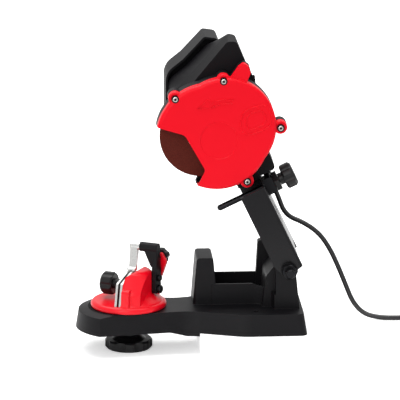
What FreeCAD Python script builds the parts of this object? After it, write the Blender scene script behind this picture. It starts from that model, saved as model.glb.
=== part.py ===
"""Electric chainsaw sharpener: a bench grinder for saw chain, in millimetres.

+X points from the chain vise to the hinge at the back, +Y to the motor side, +Z up.
Pieces are drawn with y = 0 in the plane of the grinding disc, which is also the plane
of the vise's swivel axis.  save() then moves them by FRAME_SHIFT, so that the origin is
midway between the two bench-bolt holes, on the face that sits on the bench.
"""
import FreeCAD, Part
import math
import os

V = FreeCAD.Vector
AX, AY, AZ = V(1, 0, 0), V(0, 1, 0), V(0, 0, 1)

# ---- clearances ----
RUN_GAP = 0.05        # radial clearance of a shaft in its bore
FREE_GAP = 0.4        # between pieces that move past each other

# ---- base casting ----
BASE_H = 28.0         # top plate above the bench
SKIN = 3.5            # moulded wall
FRONT_LIFT = 1.5      # the overhanging front ends this far above the bench plane
DRAFT = 4.5           # the sides lean out by this much from the top to the bench
VISE_X = -165.0       # swivel axis of the vise
FRONT_R = 65.0        # rounded front, about the swivel axis
FRONT_HALF = 53.0     # half width at the front corners
WAIST_X = -86.0
WAIST_NEAR, WAIST_FAR = -33.0, 30.0
REAR_X = 61.0
REAR_NEAR, REAR_FAR = -58.0, 94.0
SCALE_R = 51.0        # the top slopes down outside this radius, and carries the angle scale
SCALE_DROP = 4.0
LIP_X = -74.0         # the lip hooks over the bench edge
LIP_W = 17.0
LIP_DROP = 4.0
LIP_RAMP = 22.0       # slope up from the lip to the underside of the front
BOLT_SPACING = 112.0  # bench bolts
BOLT_MID = 18.0       # middle of the bench bolts from the wheel plane
BOLT_HOLE_R = 3.5

# ---- parts tray and stop wall ----
TRAY_NEAR, TRAY_FAR = -3.0, 60.0
TRAY_TOP = 55.5
TRAY_WALL = 3.0
TRAY_BEND_X = -3.0    # the near wall bends out towards the hinge tower from here
TRAY_LOW = 46.0       # top of the near wall where it meets the tower
STOP_X0, STOP_X1 = -75.5, -54.0
STOP_Y0, STOP_Y1 = -2.0, 50.0
STOP_FLARE = 5.5

# ---- hinge ----
HINGE_X, HINGE_Z = 43.0, 81.0
HINGE_R = 6.0         # M12 bolt
TILT_DEG = 32.2       # travel from parked to the depth stop
NEAR_TOWER = (-30.0, -16.0)
FAR_TOWER = (52.0, 65.0)
BUSH_WALL = 2.0
NUT_AF = 18.0
NUT_H = 9.0
BOLT_STICKS_OUT = 12.0
SPRING_WIRE = 2.6
SPRING_R = HINGE_R + FREE_GAP + SPRING_WIRE
SPRING_TURNS = 7
SPRING_LEG = 36.0

# ---- arm ----
ARM_ANGLE = 64.5      # from the horizontal, parked
ARM_FRONT = 15.5      # front edge of the flanges, from the line through the hinge
ARM_BACK = 18.5       # back of the web, from the same line
ARM_T = 2.5           # sheet
ARM_LUG_R = 11.5
ARM_BEND = 4.0
ARM_FOOT = 10.0       # the flanges have their full width above this
ARM_HEEL = -2.5       # and reach down to here behind the hinge bolt
WEB_START = 12.0      # the web is cut away below this, clear of the towers
GUARD_CLEAR = 2.0

# ---- depth stop ----
DEPTH_S = 101.0       # along the arm
DEPTH_Y = 25.0
DEPTH_R = 4.0         # M8 rod
DEPTH_TIP = -51.5
DEPTH_END = 59.5
DEPTH_GAP = 0.6       # between the knob's hub and the lock nut
BLOCK_T = 12.0
BLOCK_W = 22.0
ARM_END = DEPTH_S + BLOCK_W / 2 + 3.0        # top of the near flange
ARM_TOP = ARM_END + 31.0                     # top of the web and of the far flange
ARM_BOLTS = (ARM_END + 7.0, ARM_END + 23.0)
LOCK_NUT_R = 14.5
LOCK_NUT_H = 6.5
KNOB_R = 16.5
KNOB_H = 15.5

# ---- grinding disc and guard ----
WHEEL_X, WHEEL_Z = -70.0, 255.0
DISC_R = 54.0
DISC_T = 3.2
DISC_BORE_R = 11.5
GUARD_FRONT, GUARD_SPLIT, GUARD_BACK = -20.0, -5.0, 14.0
GUARD_WALL = 2.5
GUARD_EDGE = 4.5
GUARD_CIRCLES = ((3.5, 3.0, 62.5), (9.5, 5.0, 66.5), (31.2, 14.1, 65.6), (20.0, -0.5, 67.5))
GUARD_SCREWS = ((-34.5, 53.0), (28.1, 75.9), (102.2, 13.0), (59.0, -58.0))
BOSS_R = 8.8
SCREW_R = 2.0
SCREW_HEAD_R = 4.1

# ---- motor ----
SHAFT_R = 5.0
HOUSING_WALL = 3.0
SEAM_Y, HOUSING_END = 74.0, 134.0
STATOR_R, STATOR_L = 33.0, 42.0
ROTOR_R = 20.0
BEARING_R, BEARING_W = 13.0, 8.0
MOTOR_MID = 66.0      # middle of the stator from the wheel plane
NECK_S = 178.0        # the neck of the housing ends here, along the arm
BLOCK_Y = 38.0        # back of the tall block behind the guard
POST_R = 4.5
POST_LENGTH = 12.0
HEAD_SINK = 1.5
HOUSING_SCREWS = ((-33.5, 30.0), (9.0, 93.0), (36.0, 62.0), (39.0, 6.0))
SWITCH_Y = 12.0       # from the guard to the middle of the switch
SWITCH_L, SWITCH_W = 26.0, 12.0
SWITCH_RIM = 2.0
PIVOT_R = 1.6

# ---- vise, drawn about its swivel axis: x across the chain, y along it, z above the base ----
VISE_AT = 27.0        # degrees that the vise is swivelled clockwise at rest
RIM_R, RIM_H = 49.5, 8.2
RIM_GAP = 0.3         # under the turntable
RAIL_T = 3.0
RAIL_PITCH = 6.1      # between the middles of the two rails
RAIL_X = -0.25        # middle of the moving rail
RAIL_HALF = 41.6      # at the foot
RAIL_FOOT = 5.0
RAIL_BEND = (34.8, 37.5)     # the ends lean in up to here, and the edge then slopes up
RAIL_TOP = 46.4
RAIL_FLAT = 4.0       # half length of the level part
SWIVEL_R = 6.0
SWIVEL_TOP = 5.0
CLAMP_Z = 27.5
CLAMP_R = 4.0
CLAMP_END = 20.0      # the screw's end, inside the body
CLAMP_KNOB_X = -19.5
CLAMP_KNOB_R, CLAMP_KNOB_H = 15.0, 17.0
BODY_X = 30.7         # seat of the bracket
BODY_DROP = 1.5       # the body starts this far below the top of the rails
BODY_TOP = 50.0
BAR_Y, BAR_Z, BAR_R = 13.0, 78.0, 6.3
BAR_X0, BAR_X1 = 12.0, 37.0
POST_X0, POST_X1 = BODY_X + 0.3, 37.0
POST_FOOT, POST_HALF = 17.8, 8.5
BRACKET_SCREWS = (23.0, 38.0)
STOP_TRAVEL = 2.5      # each way, by turning the star knob
PAWL_X0, PAWL_X1 = -1.0, 11.6
PIN_R = 2.45
FIN_Y, FIN_T = 25.0, 5.0
STAR_X, STAR_Z = 32.0, 62.0
STAR_R = 10.5
STUD_R = 3.0
LOCK_R = 31.0
LOCK_BOTTOM = -29.0   # above the bench plane, not the base's top

# ---- cord ----
CORD_R = 3.2
COIL_R_OUT, COIL_R_IN, COIL_H = 41.0, 27.0, 26.0
COIL_AT = (250.0, 40.0)
PLUG_Y, PLUG_Z = 50.0, 8.1   # back of the plug from the coil's middle, and its height

FRAME_SHIFT = V(0, -BOLT_MID, 0)


# ---------- drawing helpers ----------
def corner_wire(corners, place):
    """Closed wire through corners (a, b, radius), each one rounded; place maps (a, b) to 3-D."""
    starts, arcs = [], []
    for i, (a, b, r) in enumerate(corners):
        here = V(a, b, 0)
        back = V(*corners[i - 1][:2], 0) - here
        ahead = V(*corners[(i + 1) % len(corners)][:2], 0) - here
        back.normalize()
        ahead.normalize()
        half = math.acos(max(-1.0, min(1.0, back.dot(ahead)))) / 2
        if r <= 0 or half > math.radians(89.5):
            starts.append((here, here))
            arcs.append(None)
            continue
        cut = r / math.tan(half)
        middle = back + ahead
        middle.normalize()
        mid = here + middle * (r / math.sin(half) - r)
        starts.append((here + back * cut, here + ahead * cut))
        arcs.append(mid)
    edges = []
    for i, (start, end) in enumerate(starts):
        if arcs[i] is not None:
            edges.append(Part.Arc(place(start.x, start.y), place(arcs[i].x, arcs[i].y),
                                  place(end.x, end.y)).toShape())
        following = starts[(i + 1) % len(starts)][0]
        if (following - end).Length > 1e-6:
            edges.append(Part.LineSegment(place(end.x, end.y),
                                          place(following.x, following.y)).toShape())
    return Part.Wire(edges)


def slab(corners, place, along):
    """Solid from rounded corners, extruded along a vector."""
    return Part.Face(corner_wire(corners, place)).extrude(along)


def slab_xz(corners, y0, y1):
    return slab(corners, lambda a, b: V(a, y0, b), V(0, y1 - y0, 0))


def slab_xy(corners, z0, z1):
    return slab(corners, lambda a, b: V(a, b, z0), V(0, 0, z1 - z0))


def slab_yz(corners, x0, x1):
    return slab(corners, lambda a, b: V(x0, a, b), V(x1 - x0, 0, 0))


def block(x0, x1, y0, y1, z0, z1):
    return Part.makeBox(x1 - x0, y1 - y0, z1 - z0, V(x0, y0, z0))


def rod(start, along, r, length):
    return Part.makeCylinder(r, length, start, along)


def pipe(start, along, r_out, r_in, length):
    """Hollow cylinder."""
    long_core = rod(start - along * 1.0, along, r_in, length + 2.0)
    return rod(start, along, r_out, length).cut(long_core)


def turned(profile, centre, along):
    """Solid of revolution from corners (distance along the axis, radius, corner radius)."""
    side = V(0, 0, 1) if abs(along.z) < 0.9 else V(1, 0, 0)
    side = side - along * side.dot(along)
    side.normalize()
    face = Part.Face(corner_wire(profile, lambda a, b: centre + along * a + side * b))
    return face.revolve(centre, along, 360)


def polygon_prism(start, along, r, sides, length, turn=0.0):
    """Regular prism, r to its corners."""
    side = V(0, 0, 1) if abs(along.z) < 0.9 else V(1, 0, 0)
    side = side - along * side.dot(along)
    side.normalize()
    other = along.cross(side)
    points = []
    for k in range(sides):
        angle = turn + 2 * math.pi * k / sides
        points.append(start + side * (r * math.cos(angle)) + other * (r * math.sin(angle)))
    points.append(points[0])
    return Part.Face(Part.makePolygon(points)).extrude(along * length)


def fused(shapes):
    result = shapes[0]
    if len(shapes) > 1:
        result = shapes[0].multiFuse(list(shapes[1:]))
    return result.removeSplitter()


def rounded(shape, r, wanted):
    """Fillet the edges that wanted(edge) picks."""
    edges = [edge for edge in shape.Edges if wanted(edge)]
    return shape.makeFillet(r, edges)


def inset(corners, d):
    """Corners of a convex outline, listed clockwise or not, moved inwards by d."""
    area = 0.0
    for i, (a, b, _) in enumerate(corners):
        a2, b2, _ = corners[(i + 1) % len(corners)]
        area += a * b2 - a2 * b
    turn = 1.0 if area > 0 else -1.0
    lines = []
    for i, (a, b, _) in enumerate(corners):
        a2, b2, _ = corners[(i + 1) % len(corners)]
        along = V(a2 - a, b2 - b, 0)
        along.normalize()
        inward = V(-along.y, along.x, 0) * turn
        lines.append((V(a, b, 0) + inward * d, along))
    moved = []
    for i, (_, _, r) in enumerate(corners):
        p, u = lines[i - 1]
        q, w = lines[i]
        cross = u.x * w.y - u.y * w.x
        k = ((q.x - p.x) * w.y - (q.y - p.y) * w.x) / cross
        moved.append((p.x + u.x * k, p.y + u.y * k, max(r - d, 0.5)))
    return moved


# ---------- places ----------
TILT = math.radians(ARM_ANGLE)
ARM_U = V(-math.cos(TILT), 0, math.sin(TILT))      # up the arm
ARM_V = V(math.sin(TILT), 0, math.cos(TILT))       # out of its back


def arm_point(s, t, y=0.0):
    """Point at s up the arm from the hinge, and t behind its middle."""
    return V(HINGE_X, y, HINGE_Z) + ARM_U * s + ARM_V * t


def arm_slab(corners, y0, y1):
    return slab(corners, lambda s, t: arm_point(s, t, y0), V(0, y1 - y0, 0))


def wheel_point(x, z, y=0.0):
    return V(WHEEL_X + x, y, WHEEL_Z + z)


def wheel_slab(corners, y0, y1):
    return slab(corners, lambda a, b: wheel_point(a, b, y0), V(0, y1 - y0, 0))


def stop_height():
    """Height of the rod's round tip with the head fully down, less a hair."""
    tip = arm_point(DEPTH_S, DEPTH_TIP + DEPTH_R) - V(HINGE_X, 0, HINGE_Z)
    angle = math.atan2(tip.z, tip.x) + math.radians(TILT_DEG)
    return HINGE_Z + tip.Length * math.sin(angle) - DEPTH_R - FREE_GAP


# ---------- base ----------
def base_outline(grow=0.0):
    """Plan of the base: wide front, waist, wide rear."""
    x0 = VISE_X - 37.0
    return [(x0 - 40.0, -FRONT_HALF - 5.0 - grow, 0), (WAIST_X, WAIST_NEAR - grow, 60),
            (-18.0, REAR_NEAR - grow, 60), (REAR_X + grow, REAR_NEAR + 1.0 - grow, 9),
            (REAR_X + grow, REAR_FAR + grow, 9), (-18.0, REAR_FAR + grow, 60),
            (WAIST_X, WAIST_FAR + grow, 60), (x0 - 40.0, FRONT_HALF + 5.0 + grow, 0)]


def base_body(grow, z0, z1):
    """The outline as a block with drafted sides, its front cut to a cone about the swivel axis."""
    low, high = grow + DRAFT * (1 - z0 / BASE_H), grow + DRAFT * (1 - z1 / BASE_H)
    wires = [corner_wire(base_outline(g), lambda a, b, z=z: V(a, b, z))
             for g, z in ((low, z0), (high, z1))]
    body = Part.makeLoft(wires, True, True)
    arc_x = VISE_X - 37.0
    front = block(arc_x - 60.0, arc_x, -100.0, 100.0, z0 - 1.0, z1 + 1.0)
    front = front.cut(Part.makeCone(FRONT_R + low, FRONT_R + high, z1 - z0, V(VISE_X, 0, z0)))
    return body.cut(front)


def tower(profile, span):
    """Hinge tower from corners about the hinge axis (x, z, radius)."""
    corners = [(HINGE_X + a, HINGE_Z + b, r) for a, b, r in profile]
    return slab_xz(corners, span[0], span[1])


def base_casting():
    foot = BASE_H - HINGE_Z
    body = base_body(0.0, 0.0, BASE_H)
    body = body.cut(base_body(-SKIN, -1.0, BASE_H - SKIN))
    front_cut = block(VISE_X - 80.0, LIP_X - LIP_W, -100.0, 100.0, -1.0, FRONT_LIFT)
    body = body.cut(front_cut)
    slope = turned([(BASE_H - SCALE_DROP, FRONT_R + 2.0, 0), (BASE_H + 1.0, FRONT_R + 2.0, 0),
                    (BASE_H + 1.0, SCALE_R - 1.8, 0)], V(VISE_X, 0, 0), AZ)
    front_half = block(VISE_X - 80.0, VISE_X - 24.0, -100.0, 100.0, 0.0, BASE_H + 5.0)
    slope = slope.common(front_half)
    under = slope.translated(V(0, 0, -SKIN)).common(base_body(-0.1, 0.0, BASE_H))
    body = fused([body, under])
    body = body.cut(slope)
    adds = [angle_scale()]
    adds += under_ribs()
    adds += [rod(V(VISE_X, 0, FRONT_LIFT), AZ, 13.0, BASE_H - FRONT_LIFT)]
    for side in (-1, 1):
        at = V(0, BOLT_MID + side * BOLT_SPACING / 2, 0)
        adds.append(rod(at, AZ, 9.0, BASE_H))
    adds.append(bench_lip())
    adds += [stop_wall(), tray_walls(), rear_wall()]
    adds.append(tower([(-17.2, foot, 0), (-17.2, 5, 7), (-8, 12.5, 6), (2, 12.5, 6), (10, 5, 6),
                       (9.5, -8, 10), (14, foot, 0)], NEAR_TOWER))
    adds.append(tower([(-39, foot, 0), (-35, 18, 3), (-12, 20, 8), (0, 13.5, 8), (9.5, 6, 6),
                       (12, -5, 8), (14, foot, 0)], FAR_TOWER))
    body = fused([body] + adds)
    cuts = [rod(V(VISE_X, 0, -1), AZ, SWIVEL_R + RUN_GAP, BASE_H + 2)]
    for side in (-1, 1):
        at = V(0, BOLT_MID + side * BOLT_SPACING / 2, -1)
        cuts.append(rod(at, AZ, BOLT_HOLE_R, BASE_H + 2))
    cuts.append(rod(V(HINGE_X, NEAR_TOWER[0] - 1, HINGE_Z), AY, HINGE_R + BUSH_WALL,
                    FAR_TOWER[1] - NEAR_TOWER[0] + 2))
    cuts += tower_hollows()
    for cut in cuts:
        body = body.cut(cut)
    return body.removeSplitter()


def bench_lip():
    """Bar under the waist that bears against the edge of the bench, with a ramp in front of it."""
    x0 = LIP_X - LIP_W
    bar = slab_xz([(x0 - LIP_RAMP, FRONT_LIFT, 0), (x0, -LIP_DROP, 0), (LIP_X, -LIP_DROP, 0),
                   (LIP_X, SKIN, 0), (x0 - LIP_RAMP, SKIN + FRONT_LIFT, 0)], -100.0, 100.0)
    return bar.common(base_body(0.0, -LIP_DROP, SKIN + FRONT_LIFT))


def tower_hollows():
    """The towers and the stop wall are shells, open underneath."""
    top = HINGE_Z - 22.0
    near = slab_xz([(HINGE_X - 13.5, -1, 0), (HINGE_X - 13.5, top, 3), (HINGE_X + 7, top, 3),
                    (HINGE_X + 9.5, -1, 0)], NEAR_TOWER[0] + SKIN, NEAR_TOWER[1] - SKIN)
    far = slab_xz([(HINGE_X - 34, -1, 0), (HINGE_X - 31, top, 3), (HINGE_X + 7, top, 3),
                   (HINGE_X + 9.5, -1, 0)], FAR_TOWER[0] + SKIN, FAR_TOWER[1] - SKIN)
    stop = slab_xz([(STOP_X0 - STOP_FLARE + SKIN, -1, 0), (STOP_X0 + SKIN, stop_height() - SKIN, 2),
                    (STOP_X1 - SKIN, stop_height() - SKIN, 2), (STOP_X1 - SKIN, -1, 0)],
                   STOP_Y0 + SKIN, STOP_Y1 - SKIN)
    lip = block(LIP_X - LIP_W - 1.0, LIP_X + 1.0, WAIST_NEAR, WAIST_FAR, -LIP_DROP - 1.0, -0.01)
    return [near, far, stop.cut(lip)]


def angle_scale():
    """Raised radial lines every ten degrees on the sloping front."""
    lines = []
    for degrees in range(-40, 41, 10):
        length = 9.0 if degrees % 30 == 0 else 6.5
        line = Part.makeBox(length, 1.4, 6.0, V(FRONT_R - 1.5 - length, -0.7, BASE_H - SCALE_DROP - 3.0))
        line = line.common(turned([(BASE_H - SCALE_DROP - 4, FRONT_R - 1, 0),
                                   (BASE_H - SCALE_DROP + 1.0, FRONT_R - 1, 0),
                                   (BASE_H + 0.2, SCALE_R - 2, 0), (BASE_H - 8, SCALE_R - 2, 0)],
                                  V(0, 0, 0), AZ))
        line.rotate(V(0, 0, 0), AZ, 180.0 + degrees)
        line.translate(V(VISE_X, 0, 0))
        lines.append(line)
    return fused(lines)


def under_ribs():
    """Stiffening ribs under the top plate."""
    ribs = []
    for x, y0, y1 in ((-118.0, -37.0, 37.0), (-52.0, -36.0, 50.0), (-24.0, -50.0, 80.0),
                      (30.0, -54.0, 90.0)):
        ribs.append(block(x, x + 3.0, y0, y1, FRONT_LIFT + 2.0, BASE_H - 1.0))
    ribs.append(block(VISE_X, REAR_X - 2.0, -1.5, 1.5, FRONT_LIFT + 2.0, BASE_H - 1.0))
    return ribs


def stop_wall():
    """Hollow block that the depth rod comes down on, wider at its foot."""
    x0, x1 = STOP_X0 - STOP_FLARE, STOP_X1 + STOP_FLARE
    corners = [(x0, BASE_H - 1.0, 0), (STOP_X0, stop_height(), 4.0), (STOP_X1, stop_height(), 4.0),
               (x1, BASE_H - 1.0, 0)]
    body = slab_xz(corners, STOP_Y0, STOP_Y1)
    keep = slab_xy([(x0, STOP_Y0, 7), (x1, STOP_Y0, 4), (x1, STOP_Y1, 4), (x0, STOP_Y1, 7)],
                   BASE_H - 1.0, stop_height())
    return body.common(keep)


def tray_walls():
    """Low walls of the parts tray; the near one bends out to meet the near hinge tower."""
    bend_r = TRAY_NEAR - NEAR_TOWER[0]
    centre = V(TRAY_BEND_X, NEAR_TOWER[0], BASE_H - 1.0)
    height = TRAY_TOP - BASE_H + 1.0
    near = block(STOP_X1 - 2.0, TRAY_BEND_X, TRAY_NEAR, TRAY_NEAR + TRAY_WALL,
                 BASE_H - 1.0, TRAY_TOP)
    curve = pipe(centre, AZ, bend_r + TRAY_WALL, bend_r, height)
    quarter = block(TRAY_BEND_X, TRAY_BEND_X + 60.0, NEAR_TOWER[0], TRAY_NEAR + TRAY_WALL + 5.0,
                    BASE_H - 1.0, TRAY_TOP)
    curve = curve.common(quarter)
    slope = slab_xz([(TRAY_BEND_X, TRAY_TOP, 0), (HINGE_X - 12.0, TRAY_LOW, 0),
                     (HINGE_X - 12.0, TRAY_TOP + 5.0, 0), (TRAY_BEND_X, TRAY_TOP + 5.0, 0)],
                    -80.0, 80.0)
    curve = curve.cut(slope)
    far = block(STOP_X1 - 2.0, HINGE_X - 20.0, TRAY_FAR - TRAY_WALL, TRAY_FAR,
                BASE_H - 1.0, TRAY_TOP)
    return fused([near, curve, far])


def rear_wall():
    """Wall behind the tray, which joins the two towers and rises to a rounded crest."""
    foot = BASE_H - 1.0 - HINGE_Z
    crest = [(-34.0, foot, 0), (-29.0, -12.0, 8), (-18.5, 2.0, 2), (-15.0, -1.0, 1), (-18.0, foot, 0)]
    return tower(crest, (NEAR_TOWER[1] - 1.0, FAR_TOWER[0] + 1.0))


# ---------- hinge ----------
def arm_faces():
    """Outer faces of the arm's two flanges, along y."""
    near = NEAR_TOWER[0] - FREE_GAP - ARM_T
    far = FAR_TOWER[1] + FREE_GAP + ARM_T
    return near, far


def hinge_parts():
    near, far = arm_faces()
    washer_t = 1.6
    axis_end = near - FREE_GAP - washer_t - NUT_H - BOLT_STICKS_OUT
    start = V(HINGE_X, axis_end, HINGE_Z)
    head_y = far + FREE_GAP + washer_t
    shank = turned([(0, 0, 0), (0, HINGE_R - 1.2, 0), (1.2, HINGE_R, 0),
                    (head_y - axis_end, HINGE_R, 0), (head_y - axis_end, 0, 0)], start, AY)
    head = polygon_prism(V(HINGE_X, head_y, HINGE_Z), AY, NUT_AF / math.sqrt(3), 6, 7.5)
    bolt = fused([shank, head])
    nut_y = near - FREE_GAP - washer_t - NUT_H
    nut = polygon_prism(V(HINGE_X, nut_y, HINGE_Z), AY, NUT_AF / math.sqrt(3), 6, NUT_H, 0.2)
    chamfer = turned([(0, 0, 0), (0, NUT_AF / 2, 0), (2.0, NUT_AF / 2 + 2.0, 0),
                      (NUT_H + 1, NUT_AF / 2 + 2.0, 0), (NUT_H + 1, 0, 0)],
                     V(HINGE_X, nut_y, HINGE_Z), AY)
    nut = nut.common(chamfer).cut(rod(V(HINGE_X, nut_y - 1, HINGE_Z), AY, HINGE_R, NUT_H + 2))
    washers = [pipe(V(HINGE_X, y, HINGE_Z), AY, 10.5, HINGE_R, washer_t)
               for y in (near - FREE_GAP - washer_t, far + FREE_GAP)]
    bushes = [pipe(V(HINGE_X, span[0], HINGE_Z), AY, HINGE_R + BUSH_WALL, HINGE_R, span[1] - span[0])
              for span in (NEAR_TOWER, FAR_TOWER)]
    return {"hinge_bolt": bolt, "hinge_nut": nut, "hinge_washers": Part.Compound(washers),
            "hinge_bushes": Part.Compound(bushes)}


def return_spring():
    """Torsion spring round the hinge bolt: coils, and a leg that bears on the arm's web."""
    length = (SPRING_WIRE + 0.5) * SPRING_TURNS
    start_y = NEAR_TOWER[1] + 6.0
    helix = Part.makeHelix(length / SPRING_TURNS, length, SPRING_R - SPRING_WIRE / 2)
    helix.rotate(V(0, 0, 0), AX, -90)
    helix.translate(V(HINGE_X, start_y, HINGE_Z))
    first = helix.Edges[0].valueAt(helix.Edges[0].FirstParameter)
    tangent = helix.Edges[0].tangentAt(helix.Edges[0].FirstParameter)
    circle = Part.Wire(Part.makeCircle(SPRING_WIRE / 2, first, tangent))
    coil = Part.Wire(helix).makePipeShell([circle], True, True)
    start = arm_point(0, SPRING_R - SPRING_WIRE / 2, start_y + length + SPRING_WIRE)
    end = arm_point(SPRING_LEG, ARM_BACK - ARM_T - SPRING_WIRE / 2, start.y)
    along = end - start
    along.normalize()
    leg = rod(start, along, SPRING_WIRE / 2, (end - start).Length)
    return Part.Compound([coil, leg])


# ---------- arm ----------
def channel_section(s0, s1):
    """Sheet bent to a U, open towards the front of the arm, from s0 to s1."""
    near, far = arm_faces()
    t0, t1 = -ARM_FRONT - 10.0, ARM_BACK
    corners = [(near, t0, 0), (near, t1, ARM_BEND), (far, t1, ARM_BEND), (far, t0, 0),
               (far - ARM_T, t0, 0), (far - ARM_T, t1 - ARM_T, ARM_BEND - ARM_T),
               (near + ARM_T, t1 - ARM_T, ARM_BEND - ARM_T), (near + ARM_T, t0, 0)]
    return slab(corners, lambda y, t: arm_point(s0, t, y), ARM_U * (s1 - s0))


def arm_channel():
    """Steel channel that carries the head: two flanges on the hinge bolt and a web behind."""
    near, far = arm_faces()
    lug = ARM_LUG_R
    body = channel_section(-2.0 * lug, ARM_TOP)
    side = [(ARM_FOOT, -ARM_FRONT, 3), (ARM_TOP, -ARM_FRONT, 3), (ARM_TOP, ARM_BACK + 1.0, 0),
            (ARM_HEEL, ARM_BACK + 1.0, 0), (ARM_HEEL - 2.0, lug - 2.0, 0),
            (ARM_HEEL - 1.0, -lug + 2.0, 0)]
    keep = fused([arm_slab(side, near - 1.0, far + 1.0),
                  rod(V(HINGE_X, near - 1.0, HINGE_Z), AY, lug, far - near + 2.0)])
    body = body.common(keep)
    low_web = arm_slab([(-20.0, ARM_BACK - ARM_T - 1.0, 0), (WEB_START, ARM_BACK - ARM_T - 1.0, 0),
                        (WEB_START, ARM_BACK + 2.0, 0), (-20.0, ARM_BACK + 2.0, 0)],
                       near + ARM_BEND, far - ARM_BEND)
    body = body.cut(low_web)
    upper = arm_slab([(ARM_END, -60, 0), (ARM_TOP + 5, -60, 0), (ARM_TOP + 5, 60, 0),
                      (ARM_END, 60, 0)], near - 1, GUARD_BACK + 2.0)
    body = body.cut(upper)
    body = body.cut(guard_outline(GUARD_CLEAR, near - 1.0, GUARD_BACK + 2.0))
    body = body.cut(rod(V(HINGE_X, near - 1, HINGE_Z), AY, HINGE_R + RUN_GAP, far - near + 2))
    body = body.cut(rod(arm_point(DEPTH_S, 0, DEPTH_Y), ARM_V, DEPTH_R + 0.5, 30.0))
    for s in ARM_BOLTS:
        body = body.cut(rod(arm_point(s, 0, far - ARM_T - 1), AY, 3.0, ARM_T + 2))
    return body


def arm_bolts():
    """Hex bolts through the far flange into the neck of the motor housing."""
    _, far = arm_faces()
    bolts = []
    for s in ARM_BOLTS:
        head = polygon_prism(arm_point(s, 0, far), AY, 5.8, 6, 4.0)
        shank = rod(arm_point(s, 0, far - 22.0), AY, 3.0, 22.0)
        bolts.append(fused([head, shank]))
    return Part.Compound(bolts)


# ---------- depth stop ----------
def depth_parts():
    at = arm_point(DEPTH_S, 0, DEPTH_Y)
    back = ARM_BACK
    half = BLOCK_W / 2
    block_solid = arm_slab([(DEPTH_S - half, back, 0), (DEPTH_S + half, back, 0),
                            (DEPTH_S + half, back + BLOCK_T, 2.5), (DEPTH_S - half, back + BLOCK_T, 2.5)],
                           DEPTH_Y - half, DEPTH_Y + half)
    block_solid = block_solid.cut(rod(at, ARM_V, DEPTH_R + RUN_GAP, 60.0))
    rod_solid = turned([(DEPTH_TIP, 0, 0), (DEPTH_TIP, DEPTH_R, DEPTH_R * 0.98),
                        (DEPTH_END - 6.0, DEPTH_R, 0), (DEPTH_END - 6.0, 0, 0)], at, ARM_V)
    nut_t = back + BLOCK_T + 0.5
    nut = polygon_prism(arm_point(DEPTH_S, nut_t, DEPTH_Y), ARM_V, LOCK_NUT_R, 6, LOCK_NUT_H, 0.3)
    nut = nut.cut(rod(at, ARM_V, DEPTH_R + RUN_GAP, 60.0))
    knob = lobed_knob(arm_point(DEPTH_S, DEPTH_END - KNOB_H, DEPTH_Y), ARM_V, KNOB_R, KNOB_H, 6, 2.6)
    hub_t = nut_t + LOCK_NUT_H + DEPTH_GAP
    hub = rod(arm_point(DEPTH_S, hub_t, DEPTH_Y), ARM_V, 8.0, DEPTH_END - KNOB_H - hub_t + 1.0)
    knob = fused([knob, hub])
    knob = knob.cut(rod(at, ARM_V, DEPTH_R + RUN_GAP, DEPTH_END - 6.0 + FREE_GAP))
    return {"depth_block": block_solid, "depth_rod": rod_solid, "depth_lock_nut": nut,
            "depth_knob": knob}


def lobed_knob(start, along, r, height, lobes, scallop):
    """Moulded hand knob: a cylinder with scallops round it and a bevelled outer edge."""
    body = turned([(0, 0, 0), (0, r - 2.0, 0), (2.0, r, 0), (height - 3.0, r, 0),
                   (height, r - 3.0, 1.5), (height, 0, 0)], start, along)
    side = V(0, 0, 1) if abs(along.z) < 0.9 else V(1, 0, 0)
    side = side - along * side.dot(along)
    side.normalize()
    other = along.cross(side)
    cutter_r = r * 0.42
    for k in range(lobes):
        angle = 2 * math.pi * (k + 0.5) / lobes
        out = side * math.cos(angle) + other * math.sin(angle)
        centre = start + out * (r - scallop + cutter_r) - along * 1.0
        body = body.cut(rod(centre, along, cutter_r, height + 2.0))
    return body


# ---------- guard ----------
def guard_outline(grow, y0, y1):
    """The guard's plan as a solid: overlapping discs and the screw bosses."""
    pieces = [rod(wheel_point(a, b, y0), AY, r + grow, y1 - y0) for a, b, r in GUARD_CIRCLES]
    pieces += [rod(wheel_point(a, b, y0), AY, BOSS_R + grow, y1 - y0) for a, b in GUARD_SCREWS]
    return fused(pieces)


def guard_tab(grow, y0, y1):
    """Finger tab on the guard's top edge."""
    return wheel_slab([(34.0 - grow, 74.0, 0), (48.0 - grow, 94.0 + grow, 4), (54.5, 99.0 + grow, 4),
                       (61.0 + grow, 94.0 + grow, 4), (63.5 + grow, 86.0, 4), (57.0, 70.0, 0)], y0, y1)


def guard_mouth(grow, y0, y1):
    """Space left open in front of the disc."""
    return wheel_slab([(4.5 + grow, -42.0, 7), (-22.0 + grow, 5.0 + grow, 12), (-85.0, 24.0 + grow, 0),
                       (-85.0, -90.0, 0), (-19.0 + grow, -90.0, 0)], y0, y1)


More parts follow.
